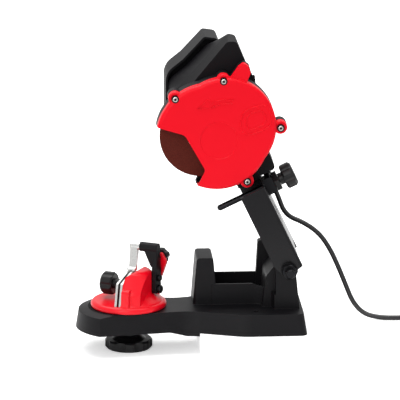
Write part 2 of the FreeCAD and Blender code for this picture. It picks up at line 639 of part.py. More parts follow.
def guard_cover():
    """Red front half, with a rounded rim, four screw bosses and a tab."""
    discs = [rod(wheel_point(a, b, GUARD_FRONT), AY, r, GUARD_SPLIT - GUARD_FRONT)
             for a, b, r in GUARD_CIRCLES]
    body = fused(discs)
    body = rounded(body, GUARD_EDGE, lambda e: all(abs(v.Point.y - GUARD_FRONT) < 1e-4
                                                   for v in e.Vertexes) and e.Length > 3)
    hollow = fused([rod(wheel_point(a, b, GUARD_FRONT + GUARD_WALL), AY, r - GUARD_WALL,
                        GUARD_SPLIT - GUARD_FRONT) for a, b, r in GUARD_CIRCLES])
    body = body.cut(hollow)
    adds = [guard_tab(0.0, GUARD_FRONT + 4.0, GUARD_SPLIT)]
    for a, b in GUARD_SCREWS:
        boss = turned([(3.5, 0, 0), (3.5, BOSS_R, 2.0), (GUARD_SPLIT - GUARD_FRONT, BOSS_R, 0),
                       (GUARD_SPLIT - GUARD_FRONT, 0, 0)], wheel_point(a, b, GUARD_FRONT), AY)
        adds.append(boss)
    body = fused([body] + adds)
    for a, b in GUARD_SCREWS:
        body = body.cut(rod(wheel_point(a, b, GUARD_FRONT + 1.0), AY, SCREW_HEAD_R + 0.9, 6.0))
        body = body.cut(rod(wheel_point(a, b, GUARD_FRONT), AY, SCREW_R + 0.1, 30.0))
    body = body.cut(guard_mouth(0.0, GUARD_FRONT - 1.0, GUARD_SPLIT + 1.0))
    dish_face = turned([(-1.0, 0, 0), (-1.0, 24.6, 0), (0.0, 24.6, 0), (0.7, 23.9, 0), (0.7, 0, 0)],
                       wheel_point(22.2, -2.6, GUARD_FRONT), AY)
    return body.cut(dish_face).removeSplitter()


def guard_back():
    """Black rear half, a dish that the motor housing is screwed to."""
    depth = GUARD_BACK - GUARD_SPLIT
    body = fused([rod(wheel_point(a, b, GUARD_SPLIT), AY, r, depth) for a, b, r in GUARD_CIRCLES])
    hollow = fused([rod(wheel_point(a, b, GUARD_SPLIT - 1.0), AY, r - GUARD_WALL,
                        depth + 1.0 - GUARD_WALL) for a, b, r in GUARD_CIRCLES])
    body = body.cut(hollow)
    adds = [guard_tab(0.6, GUARD_SPLIT, GUARD_SPLIT + 6.0)]
    for a, b in GUARD_SCREWS:
        adds.append(rod(wheel_point(a, b, GUARD_SPLIT), AY, BOSS_R + 0.3, depth - 4.0))
    body = fused([body] + adds)
    for a, b in GUARD_SCREWS:
        body = body.cut(rod(wheel_point(a, b, GUARD_SPLIT - 1.0), AY, SCREW_R, 12.0))
    body = body.cut(guard_mouth(-1.5, GUARD_SPLIT - 1.0, GUARD_BACK + 1.0))
    body = body.cut(rod(wheel_point(0, 0, GUARD_SPLIT), AY, SHAFT_R + 2.5, depth + 2.0))
    return body.removeSplitter()


def cover_screws():
    screws = []
    for a, b in GUARD_SCREWS:
        screws.append(pan_screw(wheel_point(a, b, GUARD_FRONT + 7.0), AY, 4.6, 16.0))
    return Part.Compound(screws)


def pan_screw(seat, along, head_h, length):
    """Pan-head screw with a cross recess; along points into the work."""
    head = turned([(-head_h, 0, 0), (-head_h, SCREW_HEAD_R, head_h * 0.6), (0, SCREW_HEAD_R, 0),
                   (0, SCREW_R, 0), (length, SCREW_R, 0), (length, 0, 0)], seat, along)
    side = V(0, 0, 1) if abs(along.z) < 0.9 else V(1, 0, 0)
    other = along.cross(side)
    for a, b in ((side, other), (other, side)):
        corner = seat - along * (head_h + 1.0) - a * 2.3 - b * 0.5
        slot = Part.makePolygon([corner, corner + a * 4.6, corner + a * 4.6 + b * 1.0,
                                 corner + b * 1.0, corner])
        head = head.cut(Part.Face(slot).extrude(along * 2.6))
    return head


# ---------- disc, spindle and motor ----------
def disc_parts():
    centre = wheel_point(0, 0)
    half = DISC_T / 2
    disc = turned([(-half, DISC_BORE_R, 0), (-half, DISC_R, 0.6), (half, DISC_R, 0.6),
                   (half, DISC_BORE_R, 0)], centre, AY)
    outer = turned([(-half - 5.0, SHAFT_R, 0), (-half - 5.0, 12.0, 1), (-half - 3.0, 18.0, 1),
                    (-half, 18.0, 0), (-half, DISC_BORE_R - 0.05, 0), (-0.1, DISC_BORE_R - 0.05, 0),
                    (-0.1, SHAFT_R, 0)], centre, AY)
    inner = turned([(0.1, SHAFT_R, 0), (0.1, DISC_BORE_R - 0.05, 0), (half, DISC_BORE_R - 0.05, 0),
                    (half, 18.0, 0), (half + 3.0, 18.0, 1), (half + 6.0, 10.0, 1),
                    (half + 6.0, SHAFT_R, 0)], centre, AY)
    nut = polygon_prism(wheel_point(0, 0, -half - 10.0), AY, 8.1, 6, 5.0)
    nut = nut.cut(rod(wheel_point(0, 0, -half - 11.0), AY, SHAFT_R, 7.0))
    return {"grinding_disc": disc, "disc_flange_outer": outer, "disc_flange_inner": inner,
            "disc_nut": nut}


def motor_y():
    """Places of the motor's inner parts along the shaft."""
    stator = MOTOR_MID - STATOR_L / 2
    return {"front_bearing": GUARD_BACK + 4.0, "fan": stator - 16.0, "stator": stator,
            "commutator": stator + STATOR_L + 9.0, "rear_bearing": HOUSING_END - 18.0}


def brush_y():
    """Front of the brush holders."""
    return motor_y()["commutator"] + 1.0


def shaft_parts():
    at = motor_y()
    start_y = -DISC_T / 2 - 12.0
    end_y = at["rear_bearing"] + BEARING_W
    shaft = turned([(0, 0, 0), (0, SHAFT_R - 1, 0), (1, SHAFT_R, 0), (end_y - start_y, SHAFT_R, 0),
                    (end_y - start_y, 0, 0)], wheel_point(0, 0, start_y), AY)
    core = pipe(wheel_point(0, 0, at["stator"]), AY, ROTOR_R, SHAFT_R, STATOR_L)
    for k in range(10):
        angle = 2 * math.pi * k / 10
        slot = Part.makeBox(6.0, STATOR_L + 2, 2.4, V(ROTOR_R - 5.0, at["stator"] - 1, -1.2))
        slot.rotate(V(0, 0, 0), AY, math.degrees(angle))
        slot.translate(V(WHEEL_X, 0, WHEEL_Z))
        core = core.cut(slot)
    ends = []
    for y0, y1 in ((at["stator"] - 8.0, at["stator"]),
                   (at["stator"] + STATOR_L, at["stator"] + STATOR_L + 8.0)):
        ends.append(turned([(y0, SHAFT_R, 0), (y0, 17.0, 3), (y1, 17.0, 3), (y1, SHAFT_R, 0)],
                           wheel_point(0, 0), AY))
    commutator = pipe(wheel_point(0, 0, at["commutator"]), AY, 11.0, SHAFT_R, 14.0)
    for k in range(12):
        slot = Part.makeBox(2.0, 16.0, 0.8, V(10.0, at["commutator"] - 1, -0.4))
        slot.rotate(V(0, 0, 0), AY, 30.0 * k)
        slot.translate(V(WHEEL_X, 0, WHEEL_Z))
        commutator = commutator.cut(slot)
    fan = [pipe(wheel_point(0, 0, at["fan"]), AY, 9.0, SHAFT_R, 8.0),
           pipe(wheel_point(0, 0, at["fan"] + 6.0), AY, 31.0, 8.0, 2.0)]
    for k in range(9):
        blade = Part.makeBox(22.0, 7.0, 1.6, V(8.0, at["fan"], -0.8))
        blade.rotate(V(0, 0, 0), AY, 40.0 * k)
        blade.translate(V(WHEEL_X, 0, WHEEL_Z))
        fan.append(blade)
    return {"motor_shaft": shaft, "armature_core": core, "armature_windings": Part.Compound(ends),
            "commutator": commutator, "cooling_fan": fused(fan)}


def stator_parts():
    at = motor_y()
    y0 = at["stator"]
    bore = ROTOR_R + 0.8
    core = pipe(wheel_point(0, 0, y0), AY, STATOR_R, bore, STATOR_L)
    for side in (-1, 1):
        pocket = wheel_slab([(side * 14.0, -24.0, 0), (side * 14.0, 24.0, 0), (side * 27.0, 20.0, 3),
                             (side * 27.0, -20.0, 3)], y0 - 1, y0 + STATOR_L + 1)
        core = core.cut(pocket.cut(rod(wheel_point(0, 0, y0 - 1), AY, bore + 1.0, STATOR_L + 2)))
    coils = []
    for side in (-1, 1):
        coil = wheel_slab([(side * 22.5, -16.0, 0), (side * 22.5, 16.0, 0), (side * 26.5, 14.0, 2),
                           (side * 26.5, -14.0, 2)], y0 - 7.0, y0 + STATOR_L + 7.0)
        coils.append(coil)
    y1 = at["commutator"] + 7.0
    brushes, holders = [], []
    for side in (-1, 1):
        brush = wheel_slab([(side * 11.3, -3.0, 0), (side * 11.3, 3.0, 0), (side * 24.0, 3.0, 0),
                            (side * 24.0, -3.0, 0)], y1 - 4.0, y1 + 4.0)
        holder = wheel_slab([(side * 14.0, -5.0, 0), (side * 14.0, 5.0, 0), (side * 30.0, 5.0, 1),
                             (side * 30.0, -5.0, 1)], y1 - 6.0, y1 + 6.0)
        holder = holder.cut(brush)
        brushes.append(brush)
        holders.append(holder)
    return {"stator_core": core, "stator_windings": Part.Compound(coils),
            "carbon_brushes": Part.Compound(brushes), "brush_holders": Part.Compound(holders)}


def bearing(y):
    """Ball bearing with its two rings and eight balls."""
    centre = wheel_point(0, 0, y)
    mid = (SHAFT_R + BEARING_R) / 2
    ball_r = 1.9
    inner = pipe(centre, AY, mid - 1.4, SHAFT_R + RUN_GAP, BEARING_W)
    outer = pipe(centre, AY, BEARING_R, mid + 1.4, BEARING_W)
    groove = Part.makeTorus(mid, ball_r + 0.02, centre + V(0, BEARING_W / 2, 0), AY)
    solids = [inner.cut(groove), outer.cut(groove)]
    for k in range(8):
        angle = 2 * math.pi * k / 8
        at = centre + V(mid * math.cos(angle), BEARING_W / 2, mid * math.sin(angle))
        solids.append(Part.makeSphere(ball_r, at))
    return Part.Compound(solids)


# corners of the housing's outline about the shaft, from the guard to the far end
HOUSING_NEAR = [(-38.0, -12.0, 14), (-38.0, 30.0, 14), (-14.0, 62.0, 20), (35.0, 121.0, 7),
                (47.0, 121.0, 7), (62.0, 86.0, 8), (76.0, 40.0, 14), (66.0, -10.0, 12),
                (18.0, -36.0, 14), (-20.0, -36.0, 14)]
HOUSING_BLOCK = [(-38.5, -12.0, 14), (-38.5, 44.0, 18), (-14.0, 71.0, 12), (36.0, 127.0, 6),
                 (46.0, 125.0, 6), (62.0, 86.0, 8), (74.0, 40.0, 14), (64.0, -10.0, 12),
                 (18.0, -36.0, 14), (-20.0, -36.0, 14)]
HOUSING_SEAM = [(-39.0, -12.0, 14), (-39.0, 58.0, 20), (-15.0, 77.0, 8), (13.0, 106.0, 5),
                (26.0, 104.0, 5), (34.0, 88.0, 8), (44.0, 50.0, 14), (44.0, 0.0, 12),
                (18.0, -36.0, 14), (-20.0, -36.0, 14)]
HOUSING_FAR = [(-42.0, -12.0, 14), (-42.0, 67.0, 24), (-19.5, 85.0, 8), (8.5, 115.0, 5),
               (25.5, 112.5, 7), (34.0, 91.0, 10), (46.0, 50.0, 14), (46.0, 0.0, 12),
               (18.0, -37.0, 14), (-20.0, -37.0, 14)]


def housing_loft(first, last, y0, y1):
    wires = [corner_wire(outline, lambda a, b, y=y: wheel_point(a, b, y))
             for outline, y in ((first, y0), (last, y1))]
    return Part.makeLoft(wires, True, True)


def front_block(thinner, y0, y1):
    """The front housing's body in two lofts; thinner moves its sides inwards."""
    outlines = [inset(o, thinner) if thinner else o for o in (HOUSING_NEAR, HOUSING_BLOCK, HOUSING_SEAM)]
    return fused([housing_loft(outlines[0], outlines[1], y0, BLOCK_Y),
                  housing_loft(outlines[1], outlines[2], BLOCK_Y, y1)])


def housing_neck():
    """Foot of the front housing: it fills the top of the arm's channel and is bolted there."""
    _, far = arm_faces()
    low = ARM_END + 1.0
    back = ARM_BACK - ARM_T
    side = far - ARM_T
    tongue = slab([(GUARD_BACK, -ARM_FRONT + 1.0, 0), (GUARD_BACK, back, 0), (side, back, ARM_BEND),
                   (side, -ARM_FRONT + 1.0, 3)],
                  lambda y, t: arm_point(low, t, y), ARM_U * (NECK_S - low))
    heel = arm_slab([(low + 3.0, ARM_BACK, 0), (NECK_S, ARM_BACK, 0), (NECK_S + 18.0, ARM_BACK + 24.5, 6),
                     (low + 3.0, ARM_BACK + 22.5, 6)], GUARD_BACK, SEAM_Y - 8.0)
    joint = arm_slab([(ARM_TOP + 1.0, 0, 0), (NECK_S, 0, 0), (NECK_S, 30.0, 0), (ARM_TOP + 1.0, 30.0, 0)],
                     GUARD_BACK, side)
    return fused([tongue, heel, joint])


def motor_housing_front():
    """Moulded shell from the guard to the seam, with the neck that the arm holds."""
    body = fused([front_block(0, GUARD_BACK, SEAM_Y), housing_neck()])
    hollow = front_block(HOUSING_WALL, GUARD_BACK + HOUSING_WALL, SEAM_Y + 0.01)
    shell = body
    body = body.cut(hollow)
    seat = rod(wheel_point(0, 0, GUARD_BACK), AY, BEARING_R + 3.0, 12.0)
    wall = bulkhead(front_block(0, GUARD_BACK, SEAM_Y), motor_y()["stator"] + 6.0, STATOR_R)
    posts = [post.common(shell) for post in screw_posts(SEAM_Y - POST_LENGTH, SEAM_Y)]
    body = fused([body, seat, wall] + posts)
    body = body.cut(rod(wheel_point(0, 0, GUARD_BACK + 4.0), AY, BEARING_R, 20.0))
    for a, b in HOUSING_SCREWS:
        body = body.cut(rod(wheel_point(a, b, SEAM_Y - POST_LENGTH - 1.0), AY, SCREW_R, POST_LENGTH + 2.0))
    body = body.cut(rod(wheel_point(0, 0, GUARD_BACK - 1.0), AY, SHAFT_R + 2.5, 20.0))
    body = body.cut(switch_pocket())
    for s in ARM_BOLTS:
        _, far = arm_faces()
        body = body.cut(rod(arm_point(s, 0, far - 23.0), AY, 3.0, 24.0))
    at, along = gland_place()
    body = body.cut(rod(at - along * 14.0, along, 5.0, 16.0))
    return body.removeSplitter()


def motor_housing_rear():
    """Cap over the far half of the motor: slightly larger, with a rounded end and slots."""
    body = housing_loft(HOUSING_FAR, HOUSING_FAR, SEAM_Y, HOUSING_END)
    body = rounded(body, 7.0, lambda e: all(abs(v.Point.y - HOUSING_END) < 1e-4 for v in e.Vertexes))
    hollow = housing_loft(inset(HOUSING_FAR, HOUSING_WALL), inset(HOUSING_FAR, HOUSING_WALL),
                          SEAM_Y - 0.01, HOUSING_END - HOUSING_WALL)
    body = body.cut(hollow)
    y = motor_y()["rear_bearing"]
    seat = pipe(wheel_point(0, 0, y), AY, BEARING_R + 3.0, BEARING_R, HOUSING_END - y - 1.0)
    wall = bulkhead(housing_loft(HOUSING_FAR, HOUSING_FAR, SEAM_Y, HOUSING_END),
                    brush_y() - HOUSING_WALL, ROTOR_R - 1.0)
    body = fused([body, seat, wall] + screw_posts(SEAM_Y, HOUSING_END - 1.0))
    for k in range(6):
        b = -16.0 + 9.0 * k
        for a0, a1 in ((-34.0, -18.0), (18.0, 34.0)):
            slot = wheel_slab([(a0, b, 1.5), (a1, b, 1.5), (a1, b + 4.0, 1.5), (a0, b + 4.0, 1.5)],
                              HOUSING_END - 5.0, HOUSING_END + 1.0)
            body = body.cut(slot)
    for a, b in HOUSING_SCREWS:
        body = body.cut(rod(wheel_point(a, b, HOUSING_END - HEAD_SINK), AY, SCREW_HEAD_R + 0.5, 6.0))
        body = body.cut(rod(wheel_point(a, b, SEAM_Y - 1.0), AY, SCREW_R, HOUSING_END))
    return body.removeSplitter()


def screw_posts(y0, y1):
    return [rod(wheel_point(a, b, y0), AY, POST_R, y1 - y0) for a, b in HOUSING_SCREWS]


def bulkhead(outer, y0, hole_r):
    """Wall across the housing that carries the stator or the brushes."""
    plate = outer.common(wheel_slab([(-100, -100, 0), (150, -100, 0), (150, 200, 0), (-100, 200, 0)],
                                    y0, y0 + HOUSING_WALL))
    return plate.cut(rod(wheel_point(0, 0, y0 - 1.0), AY, hole_r, HOUSING_WALL + 2.0))


def housing_screws():
    screws = []
    for a, b in HOUSING_SCREWS:
        screws.append(pan_screw(wheel_point(a, b, HOUSING_END - HEAD_SINK), V(0, -1, 0), 3.0,
                                HOUSING_END - HEAD_SINK - SEAM_Y + POST_LENGTH))
    return Part.Compound(screws)


def switch_frame():
    """Middle of the switch on the housing's slanted right side, with its three directions."""
    sides = []
    for outline, y in ((HOUSING_NEAR, GUARD_BACK), (HOUSING_BLOCK, BLOCK_Y)):
        top, low = outline[5], outline[6]
        sides.append(wheel_point((top[0] + low[0]) / 2, (top[1] + low[1]) / 2, y))
    along = V(HOUSING_NEAR[6][0] - HOUSING_NEAR[5][0], 0, HOUSING_NEAR[6][1] - HOUSING_NEAR[5][1])
    along.normalize()
    across = sides[1] - sides[0]
    middle = sides[0] + across * (SWITCH_Y / (BLOCK_Y - GUARD_BACK))
    across = across - along * across.dot(along)
    across.normalize()
    return middle, along, across, across.cross(along) * -1.0


def switch_slab(half_l, half_w, d0, d1):
    """Block centred on the switch, from d0 to d1 outwards."""
    middle, along, across, out = switch_frame()
    corner = middle - along * half_l - across * half_w + out * d0
    face = Part.makePolygon([corner, corner + along * (2 * half_l),
                             corner + along * (2 * half_l) + across * (2 * half_w),
                             corner + across * (2 * half_w), corner])
    return Part.Face(face).extrude(out * (d1 - d0))


def switch_pocket():
    return switch_slab(SWITCH_L / 2, SWITCH_W / 2, -16.0, 8.0)


def switch_pivot():
    middle, _, _, out = switch_frame()
    return middle + out * 0.5


def switch_parts():
    """Switch box with its rocker, which turns on two short trunnions."""
    half_l, half_w = SWITCH_L / 2, SWITCH_W / 2
    body = fused([switch_slab(half_l, half_w, -13.0, 1.0),
                  switch_slab(half_l + SWITCH_RIM, half_w + SWITCH_RIM, 0.8, 2.6)])
    body = body.cut(switch_slab(half_l - 2.0, half_w - 2.0, -9.0, 4.0))
    _, along, across, out = switch_frame()
    pivot = switch_pivot()
    width = half_w - 2.0 - FREE_GAP
    profile = [(-9.8, 5.4, 1), (0.0, 3.4, 0), (9.8, 4.4, 1), (8.8, -3.0, 1), (0.0, -5.0, 0),
               (-8.8, -3.0, 1)]
    rocker = slab(profile, lambda a, b: pivot + along * a + out * b - across * width,
                  across * (2 * width))
    reach = half_w - 0.6
    rocker = fused([rocker, rod(pivot - across * reach, across, PIVOT_R, 2 * reach)])
    body = body.cut(rod(pivot - across * (reach + 0.3), across, PIVOT_R + RUN_GAP, 2 * reach + 0.6))
    return {"switch_body": body, "switch_rocker": rocker}


# ---------- cord ----------
def gland_place():
    """Mouth of the cable gland on the foot of the housing, behind the arm."""
    return arm_point(ARM_END + 4.0, ARM_BACK + 8.0, 52.0), -ARM_U


def cable_gland():
    at, along = gland_place()
    body = turned([(-12.0, CORD_R, 0), (-12.0, 4.9, 0), (0.1, 4.9, 0), (0.1, 7.5, 0), (3.0, 7.5, 1),
                   (6.0, 5.6, 1), (26.0, 4.4, 0.5), (26.0, CORD_R, 0)], at, along)
    return body


def cord_route():
    """Corners of the lead's path from the gland to the bench and out to its coil."""
    at, along = gland_place()
    mouth = at + along * 26.0
    points = [mouth, mouth + along * 16.0,
              V(43.5, 50.0, 136.0), V(62.0, 46.0, 122.0), V(80.0, 41.0, 108.5), V(95.0, 35.0, 91.0),
              V(107.5, 29.0, 70.0), V(118.0, 23.0, 46.5), V(128.0, 17.5, 27.0), V(143.0, 12.0, 11.0),
              V(165.0, 8.0, CORD_R + 0.4), V(190.0, 6.5, CORD_R), V(215.0, 6.0, CORD_R + 0.1),
              V(236.0, 6.0, CORD_R + 0.1)]
    return points


def bent_tube(points, r):
    """Round tube along straight runs joined by arcs as large as the runs allow."""
    edges = []
    here = points[0]
    radii = []
    for i in range(1, len(points) - 1):
        corner = points[i]
        back = points[i - 1] - corner
        ahead = points[i + 1] - corner
        run = min(back.Length, ahead.Length)
        back.normalize()
        ahead.normalize()
        half = math.acos(max(-1.0, min(1.0, back.dot(ahead)))) / 2
        cut = 0.45 * run
        radius = cut * math.tan(half)
        middle = back + ahead
        middle.normalize()
        start, end = corner + back * cut, corner + ahead * cut
        mid = corner + middle * (radius / math.sin(half) - radius)
        edges.append(Part.LineSegment(here, start).toShape())
        edges.append(Part.Arc(start, mid, end).toShape())
        radii.append(round(radius))
        here = end
    edges.append(Part.LineSegment(here, points[-1]).toShape())
    path = Part.Wire(edges)
    first = points[1] - points[0]
    first.normalize()
    ring = Part.Wire(Part.makeCircle(r, points[0], first))
    tube = path.makePipeShell([ring], True, False)
    print("cord radii", radii, "length", round(path.Length), "volume ratio",
          round(tube.Volume / (math.pi * r * r * path.Length), 4))
    return tube


def cord_parts():
    points = cord_route()
    cord = bent_tube(points, CORD_R)
    centre = V(COIL_AT[0], COIL_AT[1], 0)
    coil = turned([(0, COIL_R_IN, 5), (0, COIL_R_OUT, 5), (COIL_H, COIL_R_OUT, 9),
                   (COIL_H, COIL_R_IN, 5)], centre, AZ)
    middle_r = (COIL_R_IN + COIL_R_OUT) / 2
    lead = rod(centre + V(middle_r, 0, PLUG_Z), AY, CORD_R, PLUG_Y)
    lead = lead.cut(coil)
    return {"power_cord": cord.cut(coil), "cord_coil": coil,
            "mains_plug": Part.Compound([lead] + mains_plug(centre + V(middle_r, PLUG_Y, PLUG_Z)))}


def mains_plug(at):
    """Moulded two-pin plug on the end of its lead, pins pointing away from the coil."""
    body = turned([(0, 0, 0), (0, 5.0, 0), (20.0, 6.5, 8), (24.0, 13.0, 3), (36.0, 13.0, 2),
                   (36.0, 0, 0)], at, AY)
    body = body.common(block(at.x - 20, at.x + 20, at.y - 5, at.y + 40, at.z - 8, at.z + 8))
    solids = [body]
    for side in (-1, 1):
        solids.append(rod(at + V(side * 7.0, 36.0, 0), AY, 2.0, 19.0))
    return solids


# ---------- vise ----------
def vise_placed(shape):
    """Moves a piece drawn about the swivel axis to its place on the base."""
    shape = shape.copy()
    shape.rotate(V(0, 0, 0), AZ, -VISE_AT)
    shape.translate(V(VISE_X, 0, BASE_H))
    return shape


def rail(middle):
    """Plate standing on the turntable, its upper edge sloping up from both ends."""
    x0, x1 = middle - RAIL_T / 2, middle + RAIL_T / 2
    bend_y, bend_z = RAIL_BEND
    half = [(RAIL_HALF, RAIL_FOOT, 1), (bend_y, bend_z, 3), (RAIL_FLAT, RAIL_TOP, 3)]
    plate = slab_yz(half + [(-y, z, r) for y, z, r in reversed(half)], x0, x1)
    return plate.cut(rod(V(x0 - 1.0, 0, CLAMP_Z), AX, CLAMP_R + FREE_GAP, RAIL_T + 2.0))


def turntable():
    """Red turntable: rimmed disc, domed body behind the fixed rail, fin for the star knob."""
    top = RIM_GAP + RIM_H
    low = top - 3.0
    wall = RAIL_X + RAIL_PITCH + RAIL_T / 2
    slot = RAIL_X - RAIL_T / 2 - FREE_GAP
    disc = turned([(RIM_GAP, 0, 0), (RIM_GAP, RIM_R, 2.0), (top, RIM_R, 5.0), (top, 0, 0)],
                  V(0, 0, 0), AZ)
    body = slab_xz([(wall, low, 0), (wall, RAIL_TOP - BODY_DROP, 2), (wall + 8.0, BODY_TOP, 4),
                    (BODY_X, BODY_TOP, 0), (BODY_X, low, 0)], -RIM_R, RIM_R)
    dome = turned([(low, 0, 0), (low, 41.0, 0), (26.0, 39.5, 14), (BODY_TOP, 23.0, 8),
                   (BODY_TOP, 0, 0)], V(wall - 2.0, 0, 0), AZ)
    skirt = turned([(low, 0, 0), (low, 47.0, 0), (top + 1.0, 44.0, 4), (top + 8.0, 34.0, 9),
                    (top + 14.0, 30.0, 0), (top + 14.0, 0, 0)], V(0, 0, 0), AZ)
    skirt = skirt.common(block(wall, RIM_R, -RIM_R, RIM_R, 0, RAIL_TOP))
    skirt = skirt.cut(block(BODY_X, RIM_R, BAR_Y - POST_HALF - STOP_TRAVEL - 1.0, FIN_Y,
                            POST_FOOT - FREE_GAP, RAIL_TOP))
    fin = slab_xz([(17.0, low, 0), (20.0, 40.0, 4), (26.0, 50.0, 4), (28.0, 64.0, 3), (35.0, 69.5, 3),
                   (43.0, 57.0, 7), (36.0, 37.0, 6), (30.0, 30.0, 4), (30.0, low, 0)],
                  FIN_Y, FIN_Y + FIN_T)
    pad = slab_yz([(-43.0, low, 0), (-42.5, 31.0, 4), (-34.0, 31.0, 0), (-34.0, low, 0)],
                  wall + 1.5, wall + 12.0)
    table = fused([disc, body.common(dome), skirt, fin, pad])
    table = table.cut(block(slot, wall, -RAIL_HALF - FREE_GAP, RAIL_HALF + FREE_GAP, RAIL_FOOT, BODY_TOP))
    table = table.cut(rod(V(0, 0, 0), AZ, SWIVEL_R, SWIVEL_TOP))
    table = table.cut(rod(V(wall - 1.0, 0, CLAMP_Z), AX, CLAMP_R + RUN_GAP, CLAMP_END + 2.0 - wall))
    table = table.cut(rod(V(STAR_X, FIN_Y - 1.0, STAR_Z), AY, STUD_R + RUN_GAP, FIN_T + 2.0))
    for z in BRACKET_SCREWS:
        table = table.cut(rod(V(BODY_X - 12.0, BAR_Y, z), AX, 2.5, 14.0))
    return table.removeSplitter()


def clamp_parts():
    """Screw and knob that draw the moving rail towards the fixed one."""
    screw_end = CLAMP_KNOB_X - 12.0
    length = CLAMP_END - screw_end
    screw = turned([(0, 0, 0), (0, CLAMP_R, 0), (length, CLAMP_R, 0.8), (length, 0, 0)],
                   V(screw_end, 0, CLAMP_Z), AX)
    knob = lobed_knob(V(CLAMP_KNOB_X, 0, CLAMP_Z), -AX, CLAMP_KNOB_R, CLAMP_KNOB_H, 6, 1.8)
    hub_end = RAIL_X - RAIL_T / 2 - 0.5
    hub = rod(V(CLAMP_KNOB_X - 0.5, 0, CLAMP_Z), AX, 7.0, hub_end - CLAMP_KNOB_X + 0.5)
    knob = fused([knob, hub]).cut(rod(V(screw_end, 0, CLAMP_Z), AX, CLAMP_R, 60.0))
    return {"clamp_screw": screw, "clamp_knob": knob}


def chain_stop_bracket():
    """Sliding bracket: foot, gusset and the barrel that carries the pawl's pin."""
    bar = rod(V(BAR_X0, BAR_Y, BAR_Z), AX, BAR_R, BAR_X1 - BAR_X0)
    low = BRACKET_SCREWS[1] + 10.0
    lug = slab_xz([(BAR_X0 + 7.5, BAR_Z - 5.5, 1), (BAR_X0 + 7.5, BAR_Z, 0), (BAR_X1, BAR_Z, 0),
                   (POST_X1, low, 0), (POST_X0, low, 0), (POST_X0, BODY_TOP + 0.8, 0),
                   (BAR_X0 + 15.5, BODY_TOP + 5.0, 4)],
                  BAR_Y - BAR_R + 1.0, BAR_Y + BAR_R - 1.0)
    foot = slab_yz([(BAR_Y - POST_HALF, POST_FOOT, 4), (BAR_Y + POST_HALF, POST_FOOT, 4),
                    (BAR_Y + POST_HALF, low, 5), (BAR_Y + 4.0, BAR_Z - 8.0, 2),
                    (BAR_Y - 4.0, BAR_Z - 8.0, 2),
                    (BAR_Y - POST_HALF, low, 5)], POST_X0, POST_X1)
    bracket = fused([bar, lug, foot])
    reach = STOP_TRAVEL + 3.2
    for z in BRACKET_SCREWS:
        slot = slab_yz([(BAR_Y - reach, z - 2.6, 2.5), (BAR_Y + reach, z - 2.6, 2.5),
                        (BAR_Y + reach, z + 2.6, 2.5), (BAR_Y - reach, z + 2.6, 2.5)],
                       POST_X0 - 1.0, POST_X1 + 1.0)
        bracket = bracket.cut(slot)
    bracket = bracket.cut(rod(V(STAR_X, BAR_Y - STOP_TRAVEL, STAR_Z), AY, STUD_R + RUN_GAP, 20.0))
    return bracket.cut(rod(V(BAR_X0 - 1.0, BAR_Y, BAR_Z), AX, PIN_R + 0.05, 16.0))


def chain_stop_parts():
    """Guide screws, the pawl's pin with its clip, and the star knob that feeds the bracket."""
    screws = []
    shank = POST_X1 + 0.3 - BODY_X
    for z, head_r, head_h in ((BRACKET_SCREWS[0], 5.6, 5.0), (BRACKET_SCREWS[1], 4.4, 4.0)):
        screws.append(turned([(-12.0, 0, 0), (-12.0, 2.5, 0), (shank, 2.5, 0), (shank, head_r, 0),
                              (shank + head_h, head_r, head_h * 0.5), (shank + head_h, 0, 0)],
                             V(BODY_X, BAR_Y, z), AX))
    pin_x0 = PAWL_X0 - 2.2
    pin = turned([(0, 0, 0), (0, PIN_R, 0.6), (BAR_X0 + 14.0 - pin_x0, PIN_R, 0),
                  (BAR_X0 + 14.0 - pin_x0, 0, 0)], V(pin_x0, BAR_Y, BAR_Z), AX)
    clip = pipe(V(pin_x0 + 0.8, BAR_Y, BAR_Z), AX, 4.2, PIN_R, 1.0)
    knob_y = FIN_Y + FIN_T + FREE_GAP
    star = lobed_knob(V(STAR_X, knob_y + 2.0, STAR_Z), AY, STAR_R, 9.0, 5, 2.6)
    hub = rod(V(STAR_X, knob_y, STAR_Z), AY, 6.0, 3.0)
    stud = rod(V(STAR_X, BAR_Y + 1.0, STAR_Z), AY, STUD_R, knob_y - BAR_Y)
    return {"chain_stop_bracket": chain_stop_bracket(), "bracket_screws": Part.Compound(screws),
            "pawl_pin": fused([pin, clip]), "chain_pawl": chain_pawl(),
            "star_knob": fused([star, hub, stud])}


def chain_pawl():
    """Steel strip that hangs from its pin and rests its foot on the rails."""
    foot_z = RAIL_TOP + 0.5
    eye = rod(V(PAWL_X0, BAR_Y, BAR_Z), AX, 5.2, PAWL_X1 - PAWL_X0)
    strip = slab_yz([(BAR_Y - 5.0, BAR_Z, 0), (3.6, foot_z + 3.4, 3), (0.0, foot_z + 3.4, 1),
                     (0.0, foot_z, 1), (7.0, foot_z, 2), (BAR_Y + 1.0, BAR_Z - 3.0, 0)],
                    PAWL_X0, PAWL_X1 - 2.4)
    toe = block(PAWL_X0 - 2.6, PAWL_X0 + 1.0, 1.0, 6.0, foot_z, foot_z + 3.0)
    return fused([eye, strip, toe]).cut(rod(V(PAWL_X0 - 1.0, BAR_Y, BAR_Z), AX, PIN_R + RUN_GAP, 20.0))


